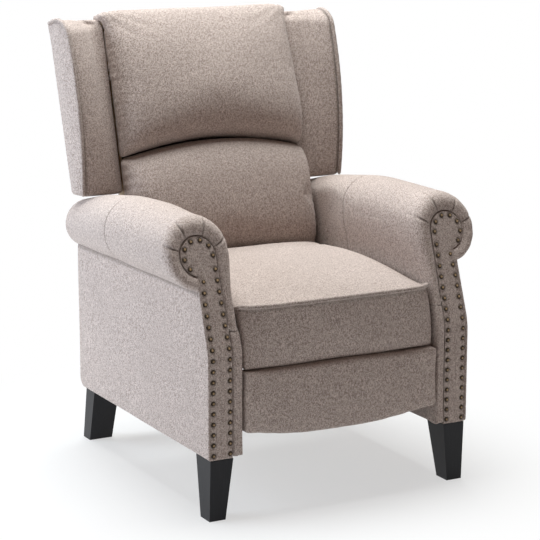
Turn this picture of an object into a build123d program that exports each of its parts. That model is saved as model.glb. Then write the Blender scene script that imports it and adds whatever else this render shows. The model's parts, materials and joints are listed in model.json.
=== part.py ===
"""Pushback recliner with wings, rolled arms and a folding footrest.

Millimetres, +Z up. The front faces -Y and the origin is on the floor under the middle of the chair.
The right-hand side (+X) is drawn and the left-hand side is its mirror image.
"""
import os
from math import atan2, cos, degrees, radians, sin, tan

from build123d import *

os.makedirs("parts", exist_ok=True)

# Fits
CLEAR = 0.3
PIN_FIT = 0.1

# Base and arms
LEG_H = 135.0
SIDE_X = 320.0
SIDE_T = 12.0
FRONT_Y = -379.0
REAR_Y = 319.0
KNEE_Z = 365.0
RAKE = 19.0
FACING_T = 12.0
FACING_SET = 2.0
FACING_W = 55.0
SCROLL_R = 40.0
SCROLL_X = 309.0
SCROLL_Z = 562.0
NECK_Z = 500.0
BORDER_W = 24.0
BORDER_DEPTH = 30.0
BORDER_RING = 30.0
FRAME_T = 18.0
ARM_PAD_T = 15.0
ARM_PAD_LOW = 400.0
ARM_PAD_REAR = 189.0
ROLL_FRONT_R = 78.0
ROLL_FRONT_Z = 567.0
ROLL_REAR_R = 55.0
ROLL_REAR_Z = 531.0
ROLL_OUT = 66.0
ROLL_REAR_OUT = 35.0
# Along the roll: share of its length, overhang beyond the side, height of its axis, radius
ROLL_HUMP = (
    (0.2, 65.0, 567.0, 78.0),
    (0.4, 63.0, 566.0, 78.0),
    (0.6, 59.0, 560.0, 76.0),
    (0.8, 47.5, 548.0, 66.5),
)
ARM_BOARD_W = 70.0
ARM_BOARD_T = 18.0
RAIL_H = 40.0
POST_D = 44.0
NAIL_D = 11.0
NAIL_H = 3.2
NAIL_PITCH = 22.8
NAIL_EDGE = 6.5
NAIL_RING_START = -45.0
NAIL_RING_SWEEP = 225.0
WELT_R = 3.0
WELT_PROUD = 0.8

# Legs
LEG_INSET = 2.0
LEG_TOP = (54.0, 68.0)
LEG_FOOT = (38.0, 43.0)
LEG_FOOT_SET = 6.0
REAR_LEG_SET = 36.0
REAR_LEG_TOP = (64.0, 47.0)
REAR_LEG_FOOT = (58.0, 38.0)
REAR_LEG_RAKE = 52.0
REAR_LEG_TOE = 12.0
HEEL_R = 25.0
BOLT_D = 8.0
BOLT_L = 60.0

# Cross members of the base
PANEL_T = 16.0
PANEL_TOP = 452.0
CROSS_Y = -122.0
CROSS_T = 18.0
CROSS_H = 40.0

# Steel mechanism: layers from the arm inwards
PLATE_T = 4.0
SEAT_PLATE_GAP = 13.0
LAYER_GAP = 2.0
LINK_W = 18.0
RIVET_D = 8.0
HEAD_D = 14.0
HEAD_T = 1.2
ROLLER_PIN_D = 10.0
ROLLER_D = 18.0
SLOT_FIT = 0.3
ROLLER_Z = 335.0
ROLLER_Y = (-141.0, 159.0)
SCREW_D = 8.0

# Back pivot, drive arm and seat travel
PIVOT_Y = 249.0
PIVOT_Z = 420.0
PIVOT_D = 12.0
DRIVE_R = 120.0
DRIVE_D = 10.0
RECLINE = 35.0
DRIVE_SLACK = 0.6

# Footrest linkage, as distances in front of the chair's middle and heights
REAR_PIVOT_F = 266.0
REAR_PIVOT_Z = 298.0
FRONT_PIVOT_DF = -56.0
FRONT_PIVOT_DZ = -20.0
CRANK_R = 112.0
CRANK_START = 238.0
CRANK_TURN = 98.0
ELBOW_R = 40.0
ELBOW_START = -95.5
REST_PIVOT_F = 309.0
REST_PIVOT_Z = 300.0
LEVER_SLACK = 2.2

# Seat
SEAT_W = 236.0
SEAT_FRONT_Y = -377.0
SEAT_EDGE_Z = 453.0
SEAT_CROWN = 35.0
SEAT_BACK_Y = 113.0
SEAT_BACK_Z = 478.0
SEAT_TUCK_Y = 121.0
SEAT_TUCK_Z = 450.0
SEAT_TAIL_Y = 181.0
SEAT_TAIL_Z = 425.0
SEAT_FLOOR_Z = 392.0
APRON_Z = 322.0
APRON_T = 38.0
SEAT_DRAW = 10.0
SEAT_RAIL_H = 32.0
SEAT_RAIL_W = 40.0
SEAT_CROSS_T = 20.0
SPRING_D = 4.0
SPRING_PITCH = 30.0
SPRING_SWING = 50.0
SPRING_BEND = 0.45
SPRINGS = 5
TUBE_D = 22.0
TUBE_WALL = 2.0
TUBE_Y = -51.0
TUBE_Z = 338.0
SEAT_WELT_R = 4.0
SEAT_WELT_PROUD = 0.75

# Footrest
REST_FACE_Y = -391.0
REST_T = 48.0
REST_W = 238.0
REST_TOP_Z = 317.0
REST_LOW_Z = 165.0
REST_RISE = 23.0
REST_BOARD_T = 18.0
REST_BOARD_MARGIN = 13.0
REST_ROUND = 16.0
REST_DRAW = 10.0
FLANGE_W = 36.0

# Back
LEAN = 15.0
BACK_Z = 420.0
BACK_Y = 235.5
SKIN_T = 10.0
POST_W = 40.0
POST_T = 35.0
BACK_LOW_H = 40.0
BACK_TOP_H = 588.0
BACK_RAIL_H = 45.0
MID_RAIL_H = 300.0
BRACKET_HOLD_H = 165.0
STRAP_W = 50.0
STRAP_T = 3.0
STRAPS = 6
HEAD_W = 239.0
HEAD_TOP_H = 612.0
ARCH_H = 292.0
ARCH_DROP = 32.0
CUSHION_LOW_H = 6.0
HEAD_SHOULDER = 110.0
HEAD_EDGE_T = 62.0
HEAD_T0 = 150.0
LUMBAR_T0 = 162.0
CREASE_T = 116.0

# Wings
WING_LOW_Z = 609.0
WING_TOP_Z = 1000.0
WING_OUT_X = 341.0
WING_OUT_TOP_X = 349.0
WING_REAR_X = 350.0
WING_REAR_TOP_X = 357.0
WING_ROUND = 25.0
WING_SECTIONS = 5
WING_IN_X = 250.0
WING_IN_TOP_X = 256.0
WING_FRONT_Y = 225.0
WING_FRONT_TOP_Y = 286.0
WING_BELLY = 27.0
WING_TURN = 2.0
WING_TURN_TOP = 60.0
WING_BOARD_T = 15.0
WING_BOARD_MARGIN = 16.0
WING_WELT_R = 4.0

# Across half of a cushion: share of its half width, and how much of its fullness is left there
REST_STATIONS = ((0.0, 1.0), (0.5, 1.0), (0.93, 0.85), (1.0, 0.5))
SEAT_STATIONS = ((0.0, 1.0), (0.6, 0.92), (0.93, 0.7), (1.0, 0.35))
HEAD_STATIONS = ((0.0, 1.0), (0.6, 0.95), (0.9, 0.72), (1.0, 0.3))
LUMBAR_STATIONS = ((0.0, 1.0), (0.6, 0.98), (0.9, 0.9), (1.0, 0.7))


# Derived places
def front_y(z):
    """Front of the arm at a height: upright below the knee, raked back above it."""
    return FRONT_Y + max(0.0, z - KNEE_Z) * tan(radians(RAKE))


FACING_BACK = FACING_SET + FACING_T
FACING_IN_X = SIDE_X - FACING_W
ARM_IN_X = FACING_IN_X - BORDER_W
FRAME_X = ARM_IN_X + ARM_PAD_T
RAIL_X0 = FRAME_X + FRAME_T
RAIL_X1 = SIDE_X - SIDE_T
ROLL_START_Y = front_y(ROLL_FRONT_Z - ROLL_FRONT_R)
ROLL_STATIONS = (
    (0.0, ROLL_OUT, ROLL_FRONT_Z, ROLL_FRONT_R),
    *ROLL_HUMP,
    (1.0, ROLL_REAR_OUT, ROLL_REAR_Z, ROLL_REAR_R),
)

BASE_PLATE_X = FRAME_X - PLATE_T
SEAT_PLATE_X = BASE_PLATE_X - SEAT_PLATE_GAP - PLATE_T
LAYER_1 = SEAT_PLATE_X - LAYER_GAP - PLATE_T
LAYER_2 = LAYER_1 - LAYER_GAP - PLATE_T
LAYER_3 = LAYER_2 - LAYER_GAP - PLATE_T

SEAT_TRAVEL = 2 * DRIVE_R * sin(radians(RECLINE / 2))
DRIVE_Y = PIVOT_Y + DRIVE_R * sin(radians(RECLINE / 2))
DRIVE_Z = PIVOT_Z - DRIVE_R * cos(radians(RECLINE / 2))
DRIVE_DIP = DRIVE_R * (1 - cos(radians(RECLINE / 2)))


def ahead(f, z):
    """A point of the linkage from its distance in front of the chair's middle."""
    return (-f, z)


def polar(point, radius, angle):
    """A point of the linkage at a radius and angle (forward is 0, up is 90) from another."""
    return (point[0] - radius * cos(radians(angle)), point[1] + radius * sin(radians(angle)))


REAR_PIVOT = ahead(REAR_PIVOT_F, REAR_PIVOT_Z)
FRONT_PIVOT = ahead(REAR_PIVOT_F + FRONT_PIVOT_DF, REAR_PIVOT_Z + FRONT_PIVOT_DZ)
KNUCKLE = polar(REAR_PIVOT, CRANK_R, CRANK_START)
HEEL = polar(FRONT_PIVOT, CRANK_R, CRANK_START)
ELBOW = polar(KNUCKLE, ELBOW_R, ELBOW_START)
REST_PIVOT = ahead(REST_PIVOT_F, REST_PIVOT_Z)
REST_LOWER = polar(REST_PIVOT, ELBOW_R, ELBOW_START)
LEVER_R = SEAT_TRAVEL / (2 * sin(radians(CRANK_TURN / 2)))
LEVER_RISE = LEVER_R * (1 - cos(radians(CRANK_TURN / 2)))
LEVER_START = 90 - CRANK_TURN / 2
LEVER = polar(REAR_PIVOT, LEVER_R, LEVER_START)

SEAT_RAIL_TOP = SEAT_FLOOR_Z - SPRING_D
SEAT_RAIL_Z = SEAT_RAIL_TOP - SEAT_RAIL_H
APRON_BACK_Y = SEAT_FRONT_Y + APRON_T
SEAT_REAR_RAIL_Y = SEAT_TAIL_Y - SEAT_CROSS_T

REST_BACK_Y = REST_FACE_Y + REST_T
POST_X1 = LAYER_1
POST_X0 = POST_X1 - POST_W
FRAME_FRONT_T = SKIN_T + POST_T
PAD_T = FRAME_FRONT_T + STRAP_T + CLEAR
BACK_PLANE = Plane(
    origin=(0, BACK_Y, BACK_Z),
    x_dir=(1, 0, 0),
    z_dir=(0, -cos(radians(LEAN)), sin(radians(LEAN))),
)
BACK_SIDE = Plane(origin=(0, BACK_Y, BACK_Z), x_dir=tuple(BACK_PLANE.y_dir), z_dir=(1, 0, 0))


def back_y(z, depth):
    """Y of the back at a height, a depth in front of its rear face."""
    return BACK_Y + (z - BACK_Z) * tan(radians(LEAN)) - depth / cos(radians(LEAN))


def save(piece, name):
    """Label a finished piece and write it."""
    piece.label = name
    export_step(piece, f"parts/{name}.step")


def save_pair(piece, name):
    """Write a right-hand piece and its mirror image as two nodes."""
    save(mirror(piece, about=Plane.YZ), f"left_{name}")
    save(piece, f"right_{name}")


def band(near, far, low, high):
    """Side view of the arm between two distances behind its front line."""
    knee = [KNEE_Z] if low < KNEE_Z < high else []
    heights = [low, *knee, high]
    points = [(front_y(z) + near, z) for z in heights]
    points += [(front_y(z) + far, z) for z in reversed(heights)]
    with BuildSketch(Plane.YZ) as shape:
        with BuildLine():
            Polyline(*points, close=True)
        make_face()
    return shape.sketch


def facing_outline(grow):
    """Front view of the arm facing: a straight panel with a round scroll on top."""
    inner = FACING_IN_X - grow
    outer = SIDE_X + grow
    with BuildSketch(Plane.XZ) as shape:
        with BuildLine():
            Polyline(
                (inner, LEG_H),
                (outer, LEG_H),
                (outer, NECK_Z - BORDER_RING),
                (outer - WELT_R, NECK_Z),
                (SCROLL_X, SCROLL_Z),
                (SCROLL_X - SCROLL_R - grow, SCROLL_Z),
                (inner, KNEE_Z),
                close=True,
            )
        make_face()
        with Locations((SCROLL_X, SCROLL_Z)):
            Circle(SCROLL_R + grow)
    return shape.sketch


# Arm frame: an upright panel with a board along its top, inside the roll
ROLL_SLOPE = (ROLL_REAR_Z - ROLL_FRONT_Z) / (REAR_Y - ROLL_START_Y)


def roll_z(y):
    """Height of the roll's axis at a place along the arm."""
    return ROLL_FRONT_Z + (y - ROLL_START_Y) * ROLL_SLOPE


FRAME_FRONT_TOP_Y = front_y(ROLL_FRONT_Z) + BORDER_DEPTH
ARM_REAR_IN_Y = REAR_Y - PANEL_T
BOARD_FRONT_Y = FRAME_FRONT_TOP_Y + ARM_BOARD_T
with BuildPart() as arm_frame:
    with BuildSketch(Plane.YZ.offset(FRAME_X)):
        with BuildLine():
            Polyline(
                (FRONT_Y + BORDER_DEPTH, LEG_H),
                (ARM_REAR_IN_Y, LEG_H),
                (ARM_REAR_IN_Y, roll_z(ARM_REAR_IN_Y)),
                (FRAME_FRONT_TOP_Y, roll_z(FRAME_FRONT_TOP_Y)),
                (front_y(KNEE_Z) + BORDER_DEPTH, KNEE_Z),
                close=True,
            )
        make_face()
    extrude(amount=FRAME_T)
    with BuildSketch(Plane.YZ.offset(FRAME_X)):
        with BuildLine():
            Polyline(
                (BOARD_FRONT_Y, roll_z(BOARD_FRONT_Y) - ARM_BOARD_T / 2),
                (ARM_REAR_IN_Y, roll_z(ARM_REAR_IN_Y) - ARM_BOARD_T / 2),
                (ARM_REAR_IN_Y, roll_z(ARM_REAR_IN_Y) + ARM_BOARD_T / 2),
                (BOARD_FRONT_Y, roll_z(BOARD_FRONT_Y) + ARM_BOARD_T / 2),
                close=True,
            )
        make_face()
    extrude(amount=ARM_BOARD_W)

# Base plate: roller slots, the upright slot that holds the lever, and the back's pivot hole
PLATE_LOW_Z = ROLLER_Z - ROLLER_D
PLATE_TOP_Z = LEVER[1] + LEVER_RISE + ROLLER_D
PLATE_FRONT_Y = LEVER[0] - ROLLER_D - LINK_W / 2
SCREW_SPOTS = [
    (ROLLER_Y[0] + ROLLER_D + LINK_W, ROLLER_Z),
    (ROLLER_Y[1] - SEAT_TRAVEL - 2 * ROLLER_D, ROLLER_Z),
    (ROLLER_Y[1] + ROLLER_D + LINK_W, ROLLER_Z),
]
with BuildPart() as base_plate:
    with BuildSketch(Plane.YZ.offset(BASE_PLATE_X)):
        with BuildLine():
            Polyline(
                (PLATE_FRONT_Y, PLATE_LOW_Z),
                (PIVOT_Y - ROLLER_D, PLATE_LOW_Z),
                (PIVOT_Y + ROLLER_D, PIVOT_Z - ROLLER_D),
                (PIVOT_Y + ROLLER_D, PIVOT_Z + ROLLER_D),
                (PIVOT_Y - ROLLER_D, PIVOT_Z + ROLLER_D),
                (ROLLER_Y[1] + ROLLER_D, PLATE_TOP_Z),
                (PLATE_FRONT_Y, PLATE_TOP_Z),
                close=True,
            )
        make_face()
        for roller_y in ROLLER_Y:
            with Locations((roller_y - SEAT_TRAVEL / 2, ROLLER_Z)):
                SlotCenterToCenter(SEAT_TRAVEL, ROLLER_PIN_D + 2 * SLOT_FIT, mode=Mode.SUBTRACT)
        with Locations((LEVER[0], LEVER[1] + LEVER_RISE / 2)):
            SlotCenterToCenter(LEVER_RISE, RIVET_D + 2 * LEVER_SLACK, rotation=90, mode=Mode.SUBTRACT)
        with Locations((PIVOT_Y, PIVOT_Z)):
            Circle(PIVOT_D / 2 + PIN_FIT, mode=Mode.SUBTRACT)
        with Locations(*SCREW_SPOTS):
            Circle(SCREW_D / 2 + PIN_FIT, mode=Mode.SUBTRACT)
    extrude(amount=PLATE_T)
save_pair(base_plate.part, "base_plate")

with BuildPart() as frame_drilled:
    add(arm_frame.part)
    with BuildSketch(Plane.YZ.offset(FRAME_X)):
        with Locations(*SCREW_SPOTS):
            Circle(SCREW_D / 2 + PIN_FIT)
    extrude(amount=FRAME_T, mode=Mode.SUBTRACT)
save_pair(frame_drilled.part, "arm_frame")

with BuildPart() as plate_screws:
    with BuildSketch(Plane.YZ.offset(BASE_PLATE_X)):
        with Locations(*SCREW_SPOTS):
            Circle(SCREW_D / 2)
    extrude(amount=PLATE_T + FRAME_T)
    mirror(about=Plane.YZ)
save(plate_screws.part, "plate_screws")

with BuildPart() as pivot_pins:
    with BuildSketch(Plane.YZ.offset(LAYER_1 - HEAD_T)):
        with Locations((PIVOT_Y, PIVOT_Z)):
            Circle(PIVOT_D / 2)
    extrude(amount=FRAME_X - LAYER_1 + HEAD_T)
    with BuildSketch(Plane.YZ.offset(LAYER_1 - HEAD_T - CLEAR)):
        with Locations((PIVOT_Y, PIVOT_Z)):
            Circle(HEAD_D / 2 + HEAD_T)
    extrude(amount=HEAD_T)
    with BuildSketch(Plane.YZ.offset(LAYER_1 + PLATE_T + CLEAR)):
        with Locations((PIVOT_Y, PIVOT_Z)):
            Circle(HEAD_D / 2 + HEAD_T)
    extrude(amount=BASE_PLATE_X - LAYER_1 - PLATE_T - CLEAR)
    mirror(about=Plane.YZ)
save(pivot_pins.part, "pivot_pins")

# Side panel, closed above by the roll
PANEL_FRONT_TOP = ROLL_FRONT_Z - ROLL_FRONT_R + ARM_BOARD_T
PANEL_REAR_TOP = ROLL_REAR_Z - ROLL_REAR_R + ARM_BOARD_T / 2
with BuildPart() as side_panel:
    with BuildSketch(Plane.YZ.offset(SIDE_X - SIDE_T)):
        with BuildLine():
            heel = JernArc((REAR_Y - HEEL_R, LEG_H), (1, 0), HEEL_R, 90)
            Polyline(
                heel @ 1,
                (REAR_Y, PANEL_REAR_TOP),
                (front_y(PANEL_FRONT_TOP) + FACING_BACK, PANEL_FRONT_TOP),
                (front_y(KNEE_Z) + FACING_BACK, KNEE_Z),
                (FRONT_Y + FACING_BACK, LEG_H),
                heel @ 0,
            )
        make_face()
    extrude(amount=SIDE_T)
save_pair(side_panel.part, "side_panel")

# Rails and posts between the arm frame and the side panel
POST_TOP = PANEL_REAR_TOP - RAIL_H
LEG_BOLT_SPOTS = [
    (SIDE_X - LEG_INSET - LEG_TOP[0] / 2, FRONT_Y + LEG_INSET + LEG_TOP[1] / 2),
    (SIDE_X - LEG_INSET - REAR_LEG_TOP[0] / 2, REAR_Y - REAR_LEG_SET - REAR_LEG_TOP[1] / 2),
]
with BuildPart() as arm_rails:
    with BuildSketch(Plane.YZ.offset(RAIL_X0)):
        with BuildLine():
            heel = JernArc((REAR_Y - HEEL_R, LEG_H), (1, 0), HEEL_R, 90)
            Polyline(
                heel @ 1,
                (REAR_Y, LEG_H + RAIL_H),
                (FRONT_Y + FACING_BACK, LEG_H + RAIL_H),
                (FRONT_Y + FACING_BACK, LEG_H),
                heel @ 0,
            )
        make_face()
        with BuildLine():
            Polyline(
                (front_y(POST_TOP) + FACING_BACK, POST_TOP),
                (REAR_Y, POST_TOP),
                (REAR_Y, POST_TOP + RAIL_H),
                (front_y(POST_TOP + RAIL_H) + FACING_BACK, POST_TOP + RAIL_H),
                close=True,
            )
        make_face()
        for post_y in (FRONT_Y + FACING_BACK + POST_D / 2, REAR_Y - POST_D / 2):
            top = KNEE_Z if post_y < 0 else POST_TOP
            with Locations((post_y, (LEG_H + RAIL_H + top) / 2)):
                Rectangle(POST_D, top - LEG_H - RAIL_H)
    extrude(amount=RAIL_X1 - RAIL_X0)
    with BuildSketch(Plane.XY.offset(LEG_H)):
        with Locations(*LEG_BOLT_SPOTS):
            Circle(BOLT_D / 2 + PIN_FIT)
    extrude(amount=BOLT_L / 2 + CLEAR, mode=Mode.SUBTRACT)
save_pair(arm_rails.part, "arm_rails")

with BuildPart() as leg_bolts:
    with BuildSketch(Plane.XY.offset(LEG_H)):
        with Locations(*LEG_BOLT_SPOTS):
            Circle(BOLT_D / 2)
    extrude(amount=BOLT_L / 2, both=True)
    mirror(about=Plane.YZ)
save(leg_bolts.part, "leg_bolts")

# Legs: tapered with upright outer sides in front, raked well back behind
with BuildPart() as front_leg:
    with BuildSketch(Plane.XY):
        with Locations((SIDE_X - LEG_INSET, FRONT_Y + LEG_INSET + LEG_FOOT_SET)):
            Rectangle(*LEG_FOOT, align=(Align.MAX, Align.MIN))
    with BuildSketch(Plane.XY.offset(LEG_H)):
        with Locations((SIDE_X - LEG_INSET, FRONT_Y + LEG_INSET)):
            Rectangle(*LEG_TOP, align=(Align.MAX, Align.MIN))
    loft()
    with BuildSketch(Plane.XY.offset(LEG_H)):
        with Locations(LEG_BOLT_SPOTS[0]):
            Circle(BOLT_D / 2 + PIN_FIT)
    extrude(amount=-BOLT_L / 2 - CLEAR, mode=Mode.SUBTRACT)
save_pair(front_leg.part, "front_leg")

with BuildPart() as rear_leg:
    with BuildSketch(Plane.XY):
        with Locations((SIDE_X - LEG_INSET - REAR_LEG_TOE, REAR_Y - REAR_LEG_SET + REAR_LEG_RAKE)):
            Rectangle(*REAR_LEG_FOOT, align=(Align.MAX, Align.MAX))
    with BuildSketch(Plane.XY.offset(LEG_H)):
        with Locations((SIDE_X - LEG_INSET, REAR_Y - REAR_LEG_SET)):
            Rectangle(*REAR_LEG_TOP, align=(Align.MAX, Align.MAX))
    loft()
    with BuildSketch(Plane.XY.offset(LEG_H)):
        with Locations(LEG_BOLT_SPOTS[1]):
            Circle(BOLT_D / 2 + PIN_FIT)
    extrude(amount=-BOLT_L / 2 - CLEAR, mode=Mode.SUBTRACT)
save_pair(rear_leg.part, "rear_leg")

# Rolled arm with its inside pad, fitted over the frame
roll_front = band(-ROLL_FRONT_R, BORDER_DEPTH, LEG_H, SCROLL_Z + 2 * ROLL_FRONT_R)
with BuildPart() as arm_roll:
    for share, out, axis_z, radius in ROLL_STATIONS:
        with BuildSketch(Plane.XZ.offset(-ROLL_START_Y - (REAR_Y - ROLL_START_Y) * share)):
            with Locations((SIDE_X + out - radius, axis_z)):
                Circle(radius)
    loft()
    with BuildSketch(Plane.YZ.offset(ARM_IN_X)):
        with BuildLine():
            Polyline(
                (front_y(ARM_PAD_LOW), ARM_PAD_LOW),
                (ARM_PAD_REAR, ARM_PAD_LOW),
                (ARM_PAD_REAR, roll_z(ARM_PAD_REAR)),
                (front_y(ROLL_FRONT_Z), roll_z(front_y(ROLL_FRONT_Z))),
                close=True,
            )
        make_face()
    extrude(amount=ARM_PAD_T)
    extrude(roll_front, 2 * SIDE_X, mode=Mode.SUBTRACT)
    with Locations((ARM_IN_X, SEAT_BACK_Y, ARM_PAD_LOW)):
        Box(
            ROLL_FRONT_R,
            REAR_Y,
            2 * ROLL_FRONT_R + ROLL_FRONT_Z - ARM_PAD_LOW,
            align=(Align.MAX, Align.MIN, Align.MIN),
            mode=Mode.SUBTRACT,
        )
    add(arm_frame.part, mode=Mode.SUBTRACT)
    add(side_panel.part, mode=Mode.SUBTRACT)
    add(arm_rails.part, mode=Mode.SUBTRACT)
save_pair(arm_roll.part, "arm_roll")

# Arm facing, its gathered border and its nails
facing_shape = facing_outline(0)
with BuildPart() as arm_facing:
    extrude(facing_shape, -FRONT_Y)
    extrude(band(FACING_SET, FACING_BACK, LEG_H, SCROLL_Z + SCROLL_R), 2 * SIDE_X, mode=Mode.INTERSECT)
save_pair(arm_facing.part, "arm_facing")

facing_space = facing_outline(CLEAR)
RING_R = SCROLL_R + BORDER_RING
with BuildSketch(Plane.XZ) as border_shape:
    with BuildLine():
        Polyline(
            (ARM_IN_X, LEG_H),
            (FACING_IN_X, LEG_H),
            (SCROLL_X, SCROLL_Z),
            (ARM_IN_X, SCROLL_Z),
            close=True,
        )
    make_face()
    with Locations((SCROLL_X, SCROLL_Z)):
        Circle(RING_R)
    add(facing_space, mode=Mode.SUBTRACT)
    with Locations((SCROLL_X, NECK_Z + WELT_R)):
        Rectangle(RING_R, RING_R, align=(Align.MIN, Align.MAX), mode=Mode.SUBTRACT)
with BuildPart() as arm_border:
    extrude(border_shape.sketch, -FRONT_Y)
    extrude(band(0, BORDER_DEPTH, LEG_H, SCROLL_Z + RING_R), 2 * SIDE_X, mode=Mode.INTERSECT)
    add(side_panel.part, mode=Mode.SUBTRACT)
save_pair(arm_border.part, "arm_border")


def inner_edge(z):
    """Inner edge of the facing at a height, drawn in from the knee to the scroll."""
    share = max(0.0, (z - KNEE_Z) / (SCROLL_Z - KNEE_Z))
    return FACING_IN_X + (SCROLL_X - SCROLL_R - FACING_IN_X) * share


def outer_edge(z):
    """Outer edge of the facing at a height, drawn in towards the neck."""
    return SIDE_X - WELT_R * max(0.0, z - NECK_Z + BORDER_RING) / BORDER_RING


NAIL_LOW_Z = LEG_H + NAIL_PITCH / 2
NAIL_RING_R = SCROLL_R - NAIL_EDGE
NAIL_BALL_R = (NAIL_D * NAIL_D / 4 + NAIL_H * NAIL_H) / (2 * NAIL_H)
outer_rows = int((NECK_Z + 2 * NAIL_EDGE - NAIL_LOW_Z) / NAIL_PITCH) + 1
inner_rows = int((SCROLL_Z - NAIL_PITCH - NAIL_LOW_Z) / NAIL_PITCH) + 1
ring_count = round(radians(NAIL_RING_SWEEP) * NAIL_RING_R / NAIL_PITCH) + 1
nail_rows = [NAIL_LOW_Z + row * NAIL_PITCH for row in range(inner_rows)]
nail_spots = [(outer_edge(z) - WELT_R - NAIL_EDGE, z) for z in nail_rows[:outer_rows]]
nail_spots += [(inner_edge(z) + NAIL_EDGE, z) for z in nail_rows]
for step in range(ring_count):
    angle = radians(NAIL_RING_START + NAIL_RING_SWEEP * step / (ring_count - 1))
    nail_spots.append((SCROLL_X + NAIL_RING_R * cos(angle), SCROLL_Z + NAIL_RING_R * sin(angle)))


def nail_plane(x, z):
    """Plane of a nail on the facing, square to the panel there."""
    tilt = radians(RAKE) if z > KNEE_Z else 0.0
    normal = (0, -cos(tilt), sin(tilt))
    return Plane(origin=(x, front_y(z) + FACING_SET, z), x_dir=(1, 0, 0), z_dir=normal)


with BuildPart() as nail:
    with Locations((0, 0, NAIL_H - NAIL_BALL_R)):
        Sphere(NAIL_BALL_R)
    split(bisect_by=Plane.XY, keep=Keep.TOP)
with BuildPart() as nails:
    with Locations(*[nail_plane(*spot).location for spot in nail_spots]):
        add(nail.part)
save_pair(nails.part, "nails")

# Welt down the outer front edge of each arm
WELT_OFF = WELT_R * WELT_PROUD
with BuildPart() as arm_welt:
    with BuildLine() as welt_path:
        welt_x = SIDE_X + WELT_OFF
        FilletPolyline(
            (welt_x, FRONT_Y + FACING_SET - WELT_OFF, LEG_H + WELT_R),
            (welt_x, FRONT_Y + FACING_SET - WELT_OFF, KNEE_Z),
            (welt_x, front_y(NECK_Z) + FACING_SET - WELT_OFF, NECK_Z),
            radius=BORDER_RING,
        )
    with BuildSketch(Plane(origin=welt_path.line @ 0, z_dir=welt_path.line % 0)):
        Circle(WELT_R)
    sweep()
    split(bisect_by=Plane.XY.offset(NECK_Z - BORDER_RING), keep=Keep.BOTTOM)
    mirror(about=Plane.YZ)
save(arm_welt.part, "arm_welts")

# Rear panel and cross rail between the arms
with BuildPart() as rear_panel:
    with Locations((0, ARM_REAR_IN_Y, LEG_H)):
        Box(2 * RAIL_X0, PANEL_T, PANEL_TOP - LEG_H, align=(Align.CENTER, Align.MIN, Align.MIN))
save(rear_panel.part, "rear_base_panel")

with BuildPart() as cross_rail:
    with Locations((0, CROSS_Y, LEG_H)):
        Box(2 * FRAME_X, CROSS_T, CROSS_H, align=(Align.CENTER, Align.CENTER, Align.MIN))
save(cross_rail.part, "cross_rail")

# Seat plate: carries the rollers, the links' rivets and the slot that the back's drive pin pushes
SEAT_PLATE_LOW = ROLLER_Z - ROLLER_D
DRIVE_LUG = DRIVE_D + ROLLER_PIN_D / 2
ROLLER_SPOTS = [(roller_y, ROLLER_Z) for roller_y in ROLLER_Y]
lever_window = CenterArc(REAR_PIVOT, LEVER_R, LEVER_START, CRANK_TURN)
with BuildPart() as seat_plate:
    with BuildSketch(Plane.YZ.offset(SEAT_PLATE_X)):
        with BuildLine():
            Polyline(
                (REAR_PIVOT[0] - 3 * LINK_W, SEAT_RAIL_TOP),
                (REAR_PIVOT[0] - 3 * LINK_W, REAR_PIVOT_Z + LINK_W),
                (REAR_PIVOT[0] - LINK_W, REAR_PIVOT[1] - LINK_W),
                (FRONT_PIVOT[0], FRONT_PIVOT[1] - LINK_W),
                (FRONT_PIVOT[0] + LINK_W, FRONT_PIVOT[1] - LINK_W / 2),
                (FRONT_PIVOT[0] + 2 * LINK_W, SEAT_PLATE_LOW),
                (ROLLER_Y[1] + 2 * ROLLER_D, SEAT_PLATE_LOW),
                (DRIVE_Y - DRIVE_LUG, DRIVE_Z - DRIVE_DIP - DRIVE_LUG),
                (DRIVE_Y + DRIVE_LUG, DRIVE_Z - DRIVE_DIP - DRIVE_LUG),
                (DRIVE_Y + DRIVE_LUG, DRIVE_Z + DRIVE_LUG),
                (ROLLER_Y[1] + 2 * ROLLER_D, ROLLER_Z + ROLLER_D),
                (SEAT_TAIL_Y, SEAT_RAIL_TOP),
                close=True,
            )
        make_face()
        with Locations((DRIVE_Y, DRIVE_Z - DRIVE_DIP / 2)):
            SlotCenterToCenter(DRIVE_DIP, DRIVE_D + 2 * DRIVE_SLACK, rotation=90, mode=Mode.SUBTRACT)
        SlotArc(lever_window, RIVET_D + 2 * LEVER_SLACK, mode=Mode.SUBTRACT)
        with Locations(REAR_PIVOT, FRONT_PIVOT):
            Circle(RIVET_D / 2 + PIN_FIT, mode=Mode.SUBTRACT)
        with Locations(*ROLLER_SPOTS):
            Circle(ROLLER_PIN_D / 2 + PIN_FIT, mode=Mode.SUBTRACT)
    extrude(amount=PLATE_T)
save_pair(seat_plate.part, "seat_plate")

with BuildPart() as roller_pins:
    with BuildSketch(Plane.YZ.offset(SEAT_PLATE_X)):
        with Locations(*ROLLER_SPOTS):
            Circle(ROLLER_PIN_D / 2)
    extrude(amount=FRAME_X - SEAT_PLATE_X - CLEAR)
    with BuildSketch(Plane.YZ.offset(SEAT_PLATE_X + PLATE_T)):
        with Locations(*ROLLER_SPOTS):
            Circle(ROLLER_D / 2)
    extrude(amount=SEAT_PLATE_GAP - CLEAR)
    mirror(about=Plane.YZ)
save(roller_pins.part, "roller_pins")


def rivets(spots, inner, outer):
    """Headed rivets through the layers between two distances from the middle, on both sides."""
    with BuildPart() as group:
        with BuildSketch(Plane.YZ.offset(inner - HEAD_T - CLEAR)):
            with Locations(*spots):
                Circle(RIVET_D / 2)
        extrude(amount=outer - inner + HEAD_T + CLEAR)
        with BuildSketch(Plane.YZ.offset(inner - HEAD_T - CLEAR)):
            with Locations(*spots):
                Circle(HEAD_D / 2)
        extrude(amount=HEAD_T)
        mirror(about=Plane.YZ)
    return group.part


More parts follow.
